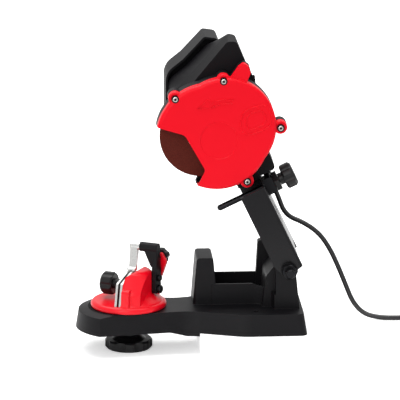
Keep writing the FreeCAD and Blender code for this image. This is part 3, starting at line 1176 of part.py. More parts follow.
def swivel_parts():
    """Stud, washer and the knob under the base that locks the vise."""
    top = BASE_H + SWIVEL_TOP
    stud = turned([(LOCK_BOTTOM + 6.0, 0, 0), (LOCK_BOTTOM + 6.0, SWIVEL_R - 1.0, 0),
                   (LOCK_BOTTOM + 7.0, SWIVEL_R, 0), (top, SWIVEL_R, 0), (top, 0, 0)],
                  V(VISE_X, 0, 0), AZ)
    washer = pipe(V(VISE_X, 0, FRONT_LIFT - 2.3), AZ, 14.0, SWIVEL_R, 2.0)
    hub_top = FRONT_LIFT - 2.6
    knob = lobed_knob(V(VISE_X, 0, LOCK_BOTTOM + 13.0), V(0, 0, -1), LOCK_R, 13.0, 8, 2.4)
    hub = rod(V(VISE_X, 0, LOCK_BOTTOM + 12.0), AZ, 13.0, hub_top - LOCK_BOTTOM - 12.0)
    web = turned([(LOCK_BOTTOM + 12.0, 0, 0), (LOCK_BOTTOM + 12.0, 24.0, 0),
                  (LOCK_BOTTOM + 19.0, 13.0, 0), (LOCK_BOTTOM + 19.0, 0, 0)], V(VISE_X, 0, 0), AZ)
    knob = fused([knob, web, hub])
    knob = knob.cut(rod(V(VISE_X, 0, LOCK_BOTTOM + 6.0), AZ, SWIVEL_R + RUN_GAP, 60.0))
    return {"swivel_bolt": stud, "swivel_washer": washer, "swivel_lock_knob": knob}


# ---------- save ----------
def save(name, shape):
    shape = shape.copy()
    shape.translate(FRAME_SHIFT)
    shape.exportStep("parts/" + name + ".step")
    print(name, len(shape.Solids), "solids", shape.isValid(), [round(v) for v in
          (shape.BoundBox.XMin, shape.BoundBox.XMax, shape.BoundBox.YMin, shape.BoundBox.YMax,
           shape.BoundBox.ZMin, shape.BoundBox.ZMax)])


def main():
    os.makedirs("parts", exist_ok=True)
    nodes = {"base_casting": base_casting(), "arm_channel": arm_channel(), "arm_bolts": arm_bolts(),
             "guard_cover": guard_cover(), "guard_back": guard_back(), "cover_screws": cover_screws(),
             "motor_housing_front": motor_housing_front(), "motor_housing_rear": motor_housing_rear(),
             "housing_screws": housing_screws(), "cable_gland": cable_gland(),
             "return_spring": return_spring(), "bearing_front": bearing(motor_y()["front_bearing"]),
             "bearing_rear": bearing(motor_y()["rear_bearing"])}
    for group in (hinge_parts, depth_parts, disc_parts, shaft_parts, stator_parts, switch_parts,
                  cord_parts, swivel_parts):
        nodes.update(group())
    vise = {"turntable": turntable(), "rail_moving": rail(RAIL_X), "rail_fixed": rail(RAIL_X + RAIL_PITCH)}
    vise.update(clamp_parts())
    vise.update(chain_stop_parts())
    nodes.update({name: vise_placed(shape) for name, shape in vise.items()})
    for name in sorted(nodes):
        save(name, nodes[name])


main()
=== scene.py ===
"""Electric chainsaw sharpener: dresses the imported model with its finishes, its mains lead and small marks."""

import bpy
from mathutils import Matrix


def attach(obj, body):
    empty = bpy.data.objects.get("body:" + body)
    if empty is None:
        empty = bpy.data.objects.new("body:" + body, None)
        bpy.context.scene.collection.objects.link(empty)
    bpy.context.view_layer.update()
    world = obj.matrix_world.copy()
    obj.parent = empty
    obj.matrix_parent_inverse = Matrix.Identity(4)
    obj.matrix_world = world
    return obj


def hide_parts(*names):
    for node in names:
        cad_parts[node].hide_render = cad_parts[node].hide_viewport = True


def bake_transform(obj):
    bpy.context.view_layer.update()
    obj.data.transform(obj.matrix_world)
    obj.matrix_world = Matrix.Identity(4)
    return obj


bl_info = {
    "name": "Chainsaw Sharpener",
    "version": (1, 0, 0),
    "blender": (4, 5, 0),
    "location": "View3D > Sidebar > Sharpener",
    "description": "Finishes, mains lead and studio stage for a bench-mounted saw chain grinder",
    "category": "Object",
}

import math

import bpy
from mathutils import Vector

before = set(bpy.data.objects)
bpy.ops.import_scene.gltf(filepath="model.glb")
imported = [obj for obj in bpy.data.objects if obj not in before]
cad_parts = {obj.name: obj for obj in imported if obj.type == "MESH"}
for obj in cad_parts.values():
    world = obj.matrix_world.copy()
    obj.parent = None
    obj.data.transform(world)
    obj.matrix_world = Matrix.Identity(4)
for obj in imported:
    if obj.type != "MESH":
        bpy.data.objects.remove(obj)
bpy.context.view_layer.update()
MM = 0.001

# ---- places that the model's source gives, in millimetres in the model's own frame ----
WHEEL_PLANE_Y = -18.0
WHEEL = (-70.0, 255.0)            # x and z of the grinding disc's axis
GUARD_FACE_Y = WHEEL_PLANE_Y - 20.0
CORD_RADIUS = 3.2
CORD_ROUTE = [
    (26.9, 34.0, 176.3), (33.8, 34.0, 161.9), (43.5, 32.0, 134.0), (68.0, 28.0, 124.5),
    (88.0, 23.5, 111.0), (102.0, 18.5, 91.0), (113.0, 13.5, 67.0), (122.5, 8.0, 43.5),
    (131.0, 2.0, 22.0), (145.0, -5.0, 7.5), (166.0, -10.0, 3.4), (190.0, -11.5, 3.2),
    (215.0, -10.5, 3.3),
]
COIL_CENTRE = (250.0, 22.0)
COIL_INNER, COIL_OUTER = 30.6, 37.4      # radii of the coil's two columns of turns
COIL_LOW, COIL_PITCH = 3.4, 6.6          # height of the first turn, and rise from turn to turn
COIL_STEPS = 12                          # points that draw one turn
COLUMN_CHANGE_STEPS = 4                  # points over which the lead crosses to the outer column
PLUG_APPROACH = (286.0, 33.2, 6.5)       # last place before the plug's own length of lead
PLUG_LEAD = (284.0, 45.2, 8.1)           # where the plug's own length of lead begins
# outlines moulded on the guard, x and z from the disc's axis
ARROW = [(-5.4, 40.2), (8.1, 53.1), (11.3, 48.5), (25.8, 51.9), (40.4, 52.1), (38.8, 47.4),
         (26.0, 46.5), (14.5, 43.5), (15.4, 41.4)]
PLATE = [(55.0, 37.0), (68.0, 42.0), (83.0, 45.0), (90.0, 34.0), (89.5, 17.0), (77.0, 10.0),
         (62.0, 4.5), (51.5, 9.0), (49.5, 24.0)]
PLATE_INNER_SHARE = 0.64           # size of the plate's inner outline against its outer one
MARK_LIFT = 0.1                    # the marks' middle line stands this far out of the guard
COVER_SCREWS = [(-34.5, 53.0), (28.1, 75.9), (102.2, 13.0), (59.0, -58.0)]   # from the disc's axis
# turned profiles: how far forward, radius, and the number of flats or 0 where it is round
SCREW_HEAD = [(0.1, 3.3, 0), (0.8, 3.3, 0), (1.2, 3.0, 0), (1.4, 2.5, 0), (1.4, 1.8, 6), (0.4, 1.7, 6)]
# the second profile is painted shade: a flat black ring round each screw head standing in for the shadow gap
# under it
SCREW_SHADOW_RING = [(0.1, 4.9, 0), (0.3, 4.7, 0), (0.3, 2.6, 0), (0.5, 1.8, 0), (0.5, 0.05, 0)]
SWIVEL = (-165.0, -18.0)           # x and y of the turntable's axis
BASE_TOP_Z = 28.0
RIB_DEGREES = range(160, 256, 3)   # where the scale's ribs stand round that axis
RIB_NEAR, RIB_FAR = 48.8, 53.4     # a rib's ends, from the axis
RIB_HALF_WIDTH, RIB_HEIGHT = 0.55, 0.7
RIB_SINK = 0.2                     # a rib's foot lies this deep in the casting
RIB_TAPER = 0.3                    # its top is this much shorter at each end
BENCH_EDGE_X = -73.5
LOW_STEP_Z = -29.3

# ---- camera: a long lens a little left of the front and above it ----
CAMERA_AZIMUTH, CAMERA_ELEVATION = -3.43, 14.38
CAMERA_LENS = 414.7
CAMERA_DISTANCE = 6.0              # metres
CAMERA_TARGET = (-71.4, -18.0, 168.7)
LAMP_TARGET = (-0.07, 0.0, 0.15)    # metres


def linear(hex_colour):
    """sRGB hex, such as 'E8102B', as linear red, green, blue and alpha."""
    channels = [int(hex_colour[i:i + 2], 16) / 255 for i in (0, 2, 4)]
    return [c / 12.92 if c <= 0.04045 else ((c + 0.055) / 1.055) ** 2.4 for c in channels] + [1.0]


def add(tree, kind, inputs=None, **settings):
    """Adds a node; an input's value may be a number, a colour or another node's output."""
    node = tree.nodes.new(kind)
    for name, value in settings.items():
        setattr(node, name, value)
    for name, value in (inputs or {}).items():
        if isinstance(value, bpy.types.NodeSocket):
            tree.links.new(value, node.inputs[name])
        else:
            node.inputs[name].default_value = value
    return node


def new_material(name):
    material = bpy.data.materials.new(name)
    material.use_nodes = True
    tree = material.node_tree
    tree.nodes.clear()
    return material, tree


def close_material(tree, sockets):
    """Principled shader with these sockets, joined to the material's output."""
    shader = add(tree, "ShaderNodeBsdfPrincipled", sockets)
    add(tree, "ShaderNodeOutputMaterial", {"Surface": shader.outputs["BSDF"]})


# ---------- settings ----------
class SharpenerSizes(bpy.types.PropertyGroup):
    lead_length: bpy.props.FloatProperty(
        name="Lead length", description="Whole length of the mains lead", default=1.70, unit="LENGTH")
    coil_turns_inner: bpy.props.FloatProperty(
        name="Inner turns", description="Turns in the coil's inner column", default=3.25)
    coil_turns_outer: bpy.props.FloatProperty(
        name="Outer turns", description="Turns in the coil's outer column", default=3.0)
    mark_height: bpy.props.FloatProperty(
        name="Mark height", description="How far the moulded marks stand out of the guard",
        default=0.9 * MM, unit="LENGTH")
    edge_radius: bpy.props.FloatProperty(
        name="Edge radius", description="Softening of moulded and cast edges in the shading",
        default=0.9 * MM, unit="LENGTH")


class SharpenerColours(bpy.types.PropertyGroup):
    red: bpy.props.FloatVectorProperty(
        name="Red", description="Guard and turntable", size=4, subtype="COLOR", default=linear("F0041E"))
    black: bpy.props.FloatVectorProperty(
        name="Black", description="Housing, casting and arm", size=4, subtype="COLOR",
        default=linear("0E0D10"))
    grit: bpy.props.FloatVectorProperty(
        name="Grit", description="Grinding disc", size=4, subtype="COLOR", default=linear("521A12"))


# ---------- materials ----------
def abs_red_moulded(sizes, colours):
    """Injection-moulded ABS: saturated, semi-gloss, with faint unevenness in the sheen."""
    material, tree = new_material("abs_red_moulded")
    where = add(tree, "ShaderNodeTexCoord")
    cloud = add(tree, "ShaderNodeTexNoise", {"Vector": where.outputs["Object"], "Scale": 1 / (35 * MM),
                                             "Detail": 3.0})
    sheen = add(tree, "ShaderNodeMapRange", {"Value": cloud.outputs["Fac"], "To Min": 0.33,
                                             "To Max": 0.45})
    grain = add(tree, "ShaderNodeTexNoise", {"Vector": where.outputs["Object"], "Scale": 1 / (1.2 * MM),
                                             "Detail": 2.0})
    edge = add(tree, "ShaderNodeBevel", {"Radius": sizes.edge_radius}, samples=4)
    bump = add(tree, "ShaderNodeBump", {"Strength": 0.08, "Distance": 0.1 * MM,
                                        "Height": grain.outputs["Fac"], "Normal": edge.outputs["Normal"]})
    close_material(tree, {"Base Color": list(colours.red), "Roughness": sheen.outputs["Result"],
                          "IOR": 1.53, "Specular IOR Level": 0.15, "Normal": bump.outputs["Normal"]})
    return material


def enamel_red_casting(sizes, colours):
    """Stoved red enamel on a casting: glossier than the guard, with a slight orange peel."""
    material, tree = new_material("enamel_red_casting")
    where = add(tree, "ShaderNodeTexCoord")
    peel = add(tree, "ShaderNodeTexNoise", {"Vector": where.outputs["Object"], "Scale": 1 / (2.5 * MM),
                                            "Detail": 1.0})
    edge = add(tree, "ShaderNodeBevel", {"Radius": sizes.edge_radius * 1.4}, samples=4)
    bump = add(tree, "ShaderNodeBump", {"Strength": 0.12, "Distance": 0.15 * MM,
                                        "Height": peel.outputs["Fac"], "Normal": edge.outputs["Normal"]})
    close_material(tree, {"Base Color": list(colours.red), "Roughness": 0.28, "IOR": 1.5,
                          "Specular IOR Level": 0.35, "Normal": bump.outputs["Normal"]})
    return material


def paint_black_casting(sizes, colours):
    """Satin black paint on a rough casting: soft broad highlights over a fine pebbled skin."""
    material, tree = new_material("paint_black_casting")
    where = add(tree, "ShaderNodeTexCoord")
    cloud = add(tree, "ShaderNodeTexNoise", {"Vector": where.outputs["Object"], "Scale": 1 / (40 * MM),
                                             "Detail": 4.0})
    sheen = add(tree, "ShaderNodeMapRange", {"Value": cloud.outputs["Fac"], "To Min": 0.38,
                                             "To Max": 0.52})
    pebble = add(tree, "ShaderNodeTexNoise", {"Vector": where.outputs["Object"], "Scale": 1 / (1.6 * MM),
                                              "Detail": 3.0})
    edge = add(tree, "ShaderNodeBevel", {"Radius": sizes.edge_radius * 1.5}, samples=4)
    bump = add(tree, "ShaderNodeBump", {"Strength": 0.25, "Distance": 0.2 * MM,
                                        "Height": pebble.outputs["Fac"], "Normal": edge.outputs["Normal"]})
    close_material(tree, {"Base Color": list(colours.black), "Roughness": sheen.outputs["Result"],
                          "IOR": 1.5, "Specular IOR Level": 0.18, "Normal": bump.outputs["Normal"]})
    return material


def powder_coat_black_sheet(sizes, colours):
    """Powder-coated steel sheet: even satin black with bright glancing edges."""
    material, tree = new_material("powder_coat_black_sheet")
    where = add(tree, "ShaderNodeTexCoord")
    peel = add(tree, "ShaderNodeTexNoise", {"Vector": where.outputs["Object"], "Scale": 1 / (2.0 * MM),
                                            "Detail": 2.0})
    edge = add(tree, "ShaderNodeBevel", {"Radius": sizes.edge_radius * 0.6}, samples=4)
    bump = add(tree, "ShaderNodeBump", {"Strength": 0.12, "Distance": 0.12 * MM,
                                        "Height": peel.outputs["Fac"], "Normal": edge.outputs["Normal"]})
    close_material(tree, {"Base Color": list(colours.black), "Roughness": 0.24, "IOR": 1.5,
                          "Specular IOR Level": 0.28,
                          "Normal": bump.outputs["Normal"]})
    return material


def abs_black_sparked(sizes, colours):
    """ABS moulded in a spark-eroded tool: matte black with a fine even grain."""
    material, tree = new_material("abs_black_sparked")
    where = add(tree, "ShaderNodeTexCoord")
    grain = add(tree, "ShaderNodeTexVoronoi", {"Vector": where.outputs["Object"], "Scale": 1 / (0.9 * MM)})
    edge = add(tree, "ShaderNodeBevel", {"Radius": sizes.edge_radius * 1.6}, samples=4)
    bump = add(tree, "ShaderNodeBump", {"Strength": 0.22, "Distance": 0.12 * MM,
                                        "Height": grain.outputs["Distance"],
                                        "Normal": edge.outputs["Normal"]})
    close_material(tree, {"Base Color": list(colours.black), "Roughness": 0.46, "IOR": 1.53,
                          "Specular IOR Level": 0.12,
                          "Normal": bump.outputs["Normal"]})
    return material


def phenolic_black_moulded(sizes, colours):
    """Compression-moulded phenolic knob: dense black, slightly mottled gloss."""
    material, tree = new_material("phenolic_black_moulded")
    where = add(tree, "ShaderNodeTexCoord")
    cloud = add(tree, "ShaderNodeTexNoise", {"Vector": where.outputs["Object"], "Scale": 1 / (6 * MM)})
    sheen = add(tree, "ShaderNodeMapRange", {"Value": cloud.outputs["Fac"], "To Min": 0.3,
                                             "To Max": 0.45})
    edge = add(tree, "ShaderNodeBevel", {"Radius": sizes.edge_radius}, samples=4)
    close_material(tree, {"Base Color": linear("111012"), "Roughness": sheen.outputs["Result"],
                          "IOR": 1.6, "Specular IOR Level": 0.22, "Normal": edge.outputs["Normal"]})
    return material


def steel_zinc_plated(sizes, colours):
    """Bright zinc plate on sheet and turned steel: pale grey metal with fine drawn lines."""
    material, tree = new_material("steel_zinc_plated")
    where = add(tree, "ShaderNodeTexCoord")
    stretch = add(tree, "ShaderNodeMapping", {"Vector": where.outputs["Object"],
                                              "Scale": (1 / (0.8 * MM), 1 / (12 * MM), 1 / (0.8 * MM))})
    lines = add(tree, "ShaderNodeTexNoise", {"Vector": stretch.outputs["Vector"], "Scale": 1.0,
                                             "Detail": 2.0})
    sheen = add(tree, "ShaderNodeMapRange", {"Value": lines.outputs["Fac"], "To Min": 0.22,
                                             "To Max": 0.36})
    edge = add(tree, "ShaderNodeBevel", {"Radius": 0.4 * MM}, samples=4)
    close_material(tree, {"Base Color": linear("D6D6D4"), "Metallic": 1.0,
                          "Roughness": sheen.outputs["Result"], "Normal": edge.outputs["Normal"]})
    return material


def steel_black_oxide(sizes, colours):
    """Blackened steel rod, nuts and bolts: dark grey metal with an oily sheen."""
    material, tree = new_material("steel_black_oxide")
    where = add(tree, "ShaderNodeTexCoord")
    cloud = add(tree, "ShaderNodeTexNoise", {"Vector": where.outputs["Object"], "Scale": 1 / (5 * MM)})
    sheen = add(tree, "ShaderNodeMapRange", {"Value": cloud.outputs["Fac"], "To Min": 0.26,
                                             "To Max": 0.42})
    edge = add(tree, "ShaderNodeBevel", {"Radius": 0.5 * MM}, samples=4)
    close_material(tree, {"Base Color": linear("29292B"), "Metallic": 1.0,
                          "Roughness": sheen.outputs["Result"], "Normal": edge.outputs["Normal"]})
    return material


def steel_nickel_plated(sizes, colours):
    """Nickel-plated screws and bearing rings: bright and smooth."""
    material, tree = new_material("steel_nickel_plated")
    edge = add(tree, "ShaderNodeBevel", {"Radius": 0.3 * MM}, samples=4)
    close_material(tree, {"Base Color": linear("C9C7C2"), "Metallic": 1.0, "Roughness": 0.2,
                          "Normal": edge.outputs["Normal"]})
    return material


def resin_bonded_abrasive(sizes, colours):
    """Aluminium oxide grit in resin: speckled brown-red with a coarse sandy surface."""
    material, tree = new_material("resin_bonded_abrasive")
    where = add(tree, "ShaderNodeTexCoord")
    # grit is about 0.2 mm on the real disc and is drawn at 0.9 mm so that it shows
    grit = add(tree, "ShaderNodeTexVoronoi", {"Vector": where.outputs["Object"], "Scale": 1 / (0.9 * MM)})
    colour = add(tree, "ShaderNodeValToRGB", {"Fac": grit.outputs["Distance"]})
    colour.color_ramp.elements[0].color = linear("6A2A1C")
    colour.color_ramp.elements[1].color = list(colours.grit)
    colour.color_ramp.elements[1].position = 0.55
    bump = add(tree, "ShaderNodeBump", {"Strength": 0.7, "Distance": 0.2 * MM,
                                        "Height": grit.outputs["Distance"]})
    close_material(tree, {"Base Color": colour.outputs["Color"], "Roughness": 0.85,
                          "Specular IOR Level": 0.2,
                          "Normal": bump.outputs["Normal"]})
    return material


def copper_enamelled_wire(sizes, colours):
    """Lacquered copper windings: round wires side by side."""
    material, tree = new_material("copper_enamelled_wire")
    where = add(tree, "ShaderNodeTexCoord")
    wires = add(tree, "ShaderNodeTexWave", {"Vector": where.outputs["Object"], "Scale": 1 / (7 * MM)},
                bands_direction="X")
    bump = add(tree, "ShaderNodeBump", {"Strength": 0.8, "Distance": 0.4 * MM,
                                        "Height": wires.outputs["Fac"]})
    close_material(tree, {"Base Color": linear("B8693A"), "Metallic": 1.0, "Roughness": 0.35,
                          "Coat Weight": 0.4, "Normal": bump.outputs["Normal"]})
    return material


def steel_laminations(sizes, colours):
    """Stacked electrical steel: dark grey sheets whose edges make fine rings."""
    material, tree = new_material("steel_laminations")
    where = add(tree, "ShaderNodeTexCoord")
    sheets = add(tree, "ShaderNodeTexWave", {"Vector": where.outputs["Object"], "Scale": 1 / (6 * MM)},
                 bands_direction="Y")
    bump = add(tree, "ShaderNodeBump", {"Strength": 0.5, "Distance": 0.2 * MM,
                                        "Height": sheets.outputs["Fac"]})
    close_material(tree, {"Base Color": linear("6E6E70"), "Metallic": 1.0, "Roughness": 0.5,
                          "Normal": bump.outputs["Normal"]})
    return material


def carbon_pressed(sizes, colours):
    """Pressed carbon brush: dull grey-black with a fine crumbly grain."""
    material, tree = new_material("carbon_pressed")
    where = add(tree, "ShaderNodeTexCoord")
    crumbs = add(tree, "ShaderNodeTexNoise", {"Vector": where.outputs["Object"], "Scale": 1 / (0.6 * MM)})
    bump = add(tree, "ShaderNodeBump", {"Strength": 0.3, "Distance": 0.1 * MM,
                                        "Height": crumbs.outputs["Fac"]})
    close_material(tree, {"Base Color": linear("2A2A2C"), "Roughness": 0.7,
                          "Normal": bump.outputs["Normal"]})
    return material


def brass_turned(sizes, colours):
    """Turned brass bush and commutator bars: warm metal with fine rings."""
    material, tree = new_material("brass_turned")
    where = add(tree, "ShaderNodeTexCoord")
    rings = add(tree, "ShaderNodeTexNoise", {"Vector": where.outputs["Object"], "Scale": 1 / (1.5 * MM)})
    sheen = add(tree, "ShaderNodeMapRange", {"Value": rings.outputs["Fac"], "To Min": 0.22,
                                             "To Max": 0.36})
    close_material(tree, {"Base Color": linear("D4B266"), "Metallic": 1.0,
                          "Roughness": sheen.outputs["Result"]})
    return material


def pvc_black_extruded(sizes, colours):
    """Extruded PVC sheath of the lead and its moulded fittings: soft black, satin."""
    material, tree = new_material("pvc_black_extruded")
    where = add(tree, "ShaderNodeTexCoord")
    cloud = add(tree, "ShaderNodeTexNoise", {"Vector": where.outputs["Object"], "Scale": 1 / (4 * MM)})
    sheen = add(tree, "ShaderNodeMapRange", {"Value": cloud.outputs["Fac"], "To Min": 0.26,
                                             "To Max": 0.38})
    close_material(tree, {"Base Color": linear("151416"), "Roughness": sheen.outputs["Result"],
                          "IOR": 1.52})
    return material


def paper_white_floor(sizes, colours):
    """Matte white paper sheet: clean and shadow-pale, its shadows lifted for the camera alone."""
    material, tree = new_material("paper_white_floor")
    where = add(tree, "ShaderNodeTexCoord")
    fibre = add(tree, "ShaderNodeTexNoise", {"Vector": where.outputs["Object"], "Scale": 1 / (3 * MM)})
    bump = add(tree, "ShaderNodeBump", {"Strength": 0.03, "Distance": 0.1 * MM,
                                        "Height": fibre.outputs["Fac"]})
    path = add(tree, "ShaderNodeLightPath")
    lift = add(tree, "ShaderNodeMath", {0: path.outputs["Is Camera Ray"], 1: 0.45}, operation="MULTIPLY")
    close_material(tree, {"Base Color": linear("FDFDFD"), "Roughness": 0.9, "Emission Color": (1, 1, 1, 1),
                          "Emission Strength": lift.outputs["Value"], "Normal": bump.outputs["Normal"]})
    return material


# ---------- small tools ----------
def settings():
    scene = bpy.context.scene
    return scene.sharpener_sizes, scene.sharpener_colours


def finish(make_material, *names):
    """Gives one finish to nodes of the model."""
    material = make_material(*settings())
    for name in names:
        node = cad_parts[name]
        node.data.materials.clear()
        node.data.materials.append(material)


def curve_piece(name, points, radius, closed=False, smooth=False):
    """Round bead along points in metres."""
    curve = bpy.data.curves.new(name, "CURVE")
    curve.dimensions = "3D"
    curve.bevel_depth = radius
    curve.bevel_resolution = 3
    spline = curve.splines.new("NURBS" if smooth else "POLY")
    spline.points.add(len(points) - 1)
    for point, place in zip(spline.points, points):
        point.co = (*place, 1.0)
    spline.use_cyclic_u = closed
    if smooth:
        spline.order_u = 3
        spline.use_endpoint_u = not closed
    piece = bpy.data.objects.new(name, curve)
    bpy.context.scene.collection.objects.link(piece)
    return piece


def mesh_piece(name, vertices, faces, material):
    """Mesh from points in metres."""
    mesh = bpy.data.meshes.new(name)
    mesh.from_pydata(vertices, [], faces)
    mesh.update()
    mesh.materials.append(material)
    piece = bpy.data.objects.new(name, mesh)
    bpy.context.scene.collection.objects.link(piece)
    return piece


def turned_rings(profile, place, segments=36):
    """Points and faces of a profile turned about a line that runs forward from a place in metres."""
    vertices, faces = [], []
    for forward, radius, sides in profile:
        for i in range(segments):
            angle = 2 * math.pi * i / segments
            reach = radius
            if sides:
                flat = math.pi / sides
                reach = radius * math.cos(flat) / math.cos((angle + flat) % (2 * flat) - flat)
            spot = Vector((reach * math.cos(angle), -forward, reach * math.sin(angle)))
            vertices.append(place + spot * MM)
    for ring in range(len(profile) - 1):
        for i in range(segments):
            here, beside = ring * segments + i, ring * segments + (i + 1) % segments
            faces.append((here, beside, beside + segments, here + segments))
    return vertices, faces


def guard_point(x, z, lift=0.0):
    """Point on the guard's face, x and z in millimetres from the disc's axis."""
    return Vector((WHEEL[0] + x, GUARD_FACE_Y - lift, WHEEL[1] + z)) * MM


# ---------- pieces ----------
class SHARPENER_OT_base(bpy.types.Operator):
    """Finish the base casting and the hinge hardware"""
    bl_idname = "sharpener.base"
    bl_label = "Base"

    def execute(self, context):
        finish(paint_black_casting, "base_casting", "chain_stop_bracket")
        finish(steel_black_oxide, "hinge_bolt", "hinge_nut", "hinge_washers", "depth_rod", "depth_block",
               "arm_bolts", "bracket_screws")
        finish(steel_zinc_plated, "return_spring", "swivel_bolt", "swivel_washer", "clamp_screw")
        finish(brass_turned, "hinge_bushes", "commutator")
        self.scale_ribs()
        return {"FINISHED"}

    def scale_ribs(self):
        """Short ribs cast on the base round the turntable's near left, one for every three degrees."""
        vertices, faces = [], []
        for degree in RIB_DEGREES:
            angle = math.radians(degree)
            out = Vector((math.cos(angle), math.sin(angle), 0.0))
            across = Vector((-out.y, out.x, 0.0))
            foot = len(vertices)
            for level, inset in ((-RIB_SINK, 0.0), (RIB_HEIGHT, RIB_TAPER)):
                near, far, half = RIB_NEAR + inset, RIB_FAR - inset, RIB_HALF_WIDTH - inset / 2
                middle = Vector((*SWIVEL, BASE_TOP_Z + level))
                for reach, side in ((near, -half), (far, -half), (far, half), (near, half)):
                    vertices.append((middle + out * reach + across * side) * MM)
            top = foot + 4
            faces.append((top, top + 1, top + 2, top + 3))
            for i in range(4):
                beside = (i + 1) % 4
                faces.append((foot + i, foot + beside, top + beside, top + i))
        ribs = mesh_piece("scale_ribs", vertices, faces, paint_black_casting(*settings()))
        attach(ribs, "base")


class SHARPENER_OT_arm(bpy.types.Operator):
    """Finish the arm channel"""
    bl_idname = "sharpener.arm"
    bl_label = "Arm"

    def execute(self, context):
        finish(powder_coat_black_sheet, "arm_channel")
        return {"FINISHED"}


class SHARPENER_OT_guard(bpy.types.Operator):
    """Finish the guard's cover and the screws"""
    bl_idname = "sharpener.guard"
    bl_label = "Guard"

    def execute(self, context):
        finish(abs_red_moulded, "guard_cover")
        finish(steel_nickel_plated, "cover_screws", "housing_screws", "bearing_front", "bearing_rear",
               "pawl_pin")
        # the heads are nickel screws; the black rings under them are painted shade, drawn where the gap round
        # each head falls into shadow
        for name, profile, make_material, slot in (
                ("cover_screw_heads", SCREW_HEAD, steel_nickel_plated, "polished_steel"),
                ("cover_screw_shadow_rings", SCREW_SHADOW_RING, abs_black_sparked, "black_plastic")):
            vertices, faces = [], []
            for x, z in COVER_SCREWS:
                points, skins = turned_rings(profile, guard_point(x, z))
                faces += [tuple(corner + len(vertices) for corner in skin) for skin in skins]
                vertices += points
            piece = mesh_piece(name, vertices, faces, make_material(*settings()))
            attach(piece, "head")
        return {"FINISHED"}


class SHARPENER_OT_housing(bpy.types.Operator):
    """Finish the motor housing, the guard's back and the switch"""
    bl_idname = "sharpener.housing"
    bl_label = "Housing"

    def execute(self, context):
        finish(abs_black_sparked, "guard_back", "motor_housing_front", "motor_housing_rear",
               "switch_body", "switch_rocker", "cooling_fan", "brush_holders")
        return {"FINISHED"}


class SHARPENER_OT_vise(bpy.types.Operator):
    """Finish the turntable, the rails and the pawl"""
    bl_idname = "sharpener.vise"
    bl_label = "Chain vise"

    def execute(self, context):
        finish(enamel_red_casting, "turntable")
        finish(steel_zinc_plated, "rail_fixed", "rail_moving", "chain_pawl", "motor_shaft", "disc_nut",
               "disc_flange_inner", "disc_flange_outer")
        return {"FINISHED"}


class SHARPENER_OT_knobs(bpy.types.Operator):
    """Finish the hand knobs"""
    bl_idname = "sharpener.knobs"
    bl_label = "Knobs"

    def execute(self, context):
        finish(phenolic_black_moulded, "depth_knob", "depth_lock_nut", "clamp_knob", "star_knob",
               "swivel_lock_knob")
        return {"FINISHED"}


class SHARPENER_OT_disc(bpy.types.Operator):
    """Finish the grinding disc"""
    bl_idname = "sharpener.disc"
    bl_label = "Grinding disc"

    def execute(self, context):
        finish(resin_bonded_abrasive, "grinding_disc")
        return {"FINISHED"}


class SHARPENER_OT_motor(bpy.types.Operator):
    """Finish the motor's inner pieces"""
    bl_idname = "sharpener.motor"
    bl_label = "Motor"

    def execute(self, context):
        finish(copper_enamelled_wire, "armature_windings", "stator_windings")
        finish(steel_laminations, "armature_core", "stator_core")
        finish(carbon_pressed, "carbon_brushes")
        return {"FINISHED"}


class SHARPENER_OT_marks(bpy.types.Operator):
    """Raised arrow for the disc's turning and a plain plate outline moulded on the guard"""
    bl_idname = "sharpener.marks"
    bl_label = "Guard marks"

    def execute(self, context):
        sizes, colours = settings()
        material = abs_red_moulded(sizes, colours)
        outlines = {"guard_arrow": (ARROW, 1.0, False), "guard_plate_edge": (PLATE, 1.0, True),
                    "guard_plate_inner_edge": (PLATE, PLATE_INNER_SHARE, True)}
        middle = Vector([sum(values) / len(PLATE) for values in zip(*PLATE)])
        for name, (corners, share, smooth) in outlines.items():
            places = [middle + (Vector(corner) - middle) * share for corner in corners]
            bead = curve_piece(name, [guard_point(place.x, place.y, MARK_LIFT) for place in places],
                               sizes.mark_height, closed=True, smooth=smooth)
            bead.data.materials.append(material)
            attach(bead, "head")
        return {"FINISHED"}


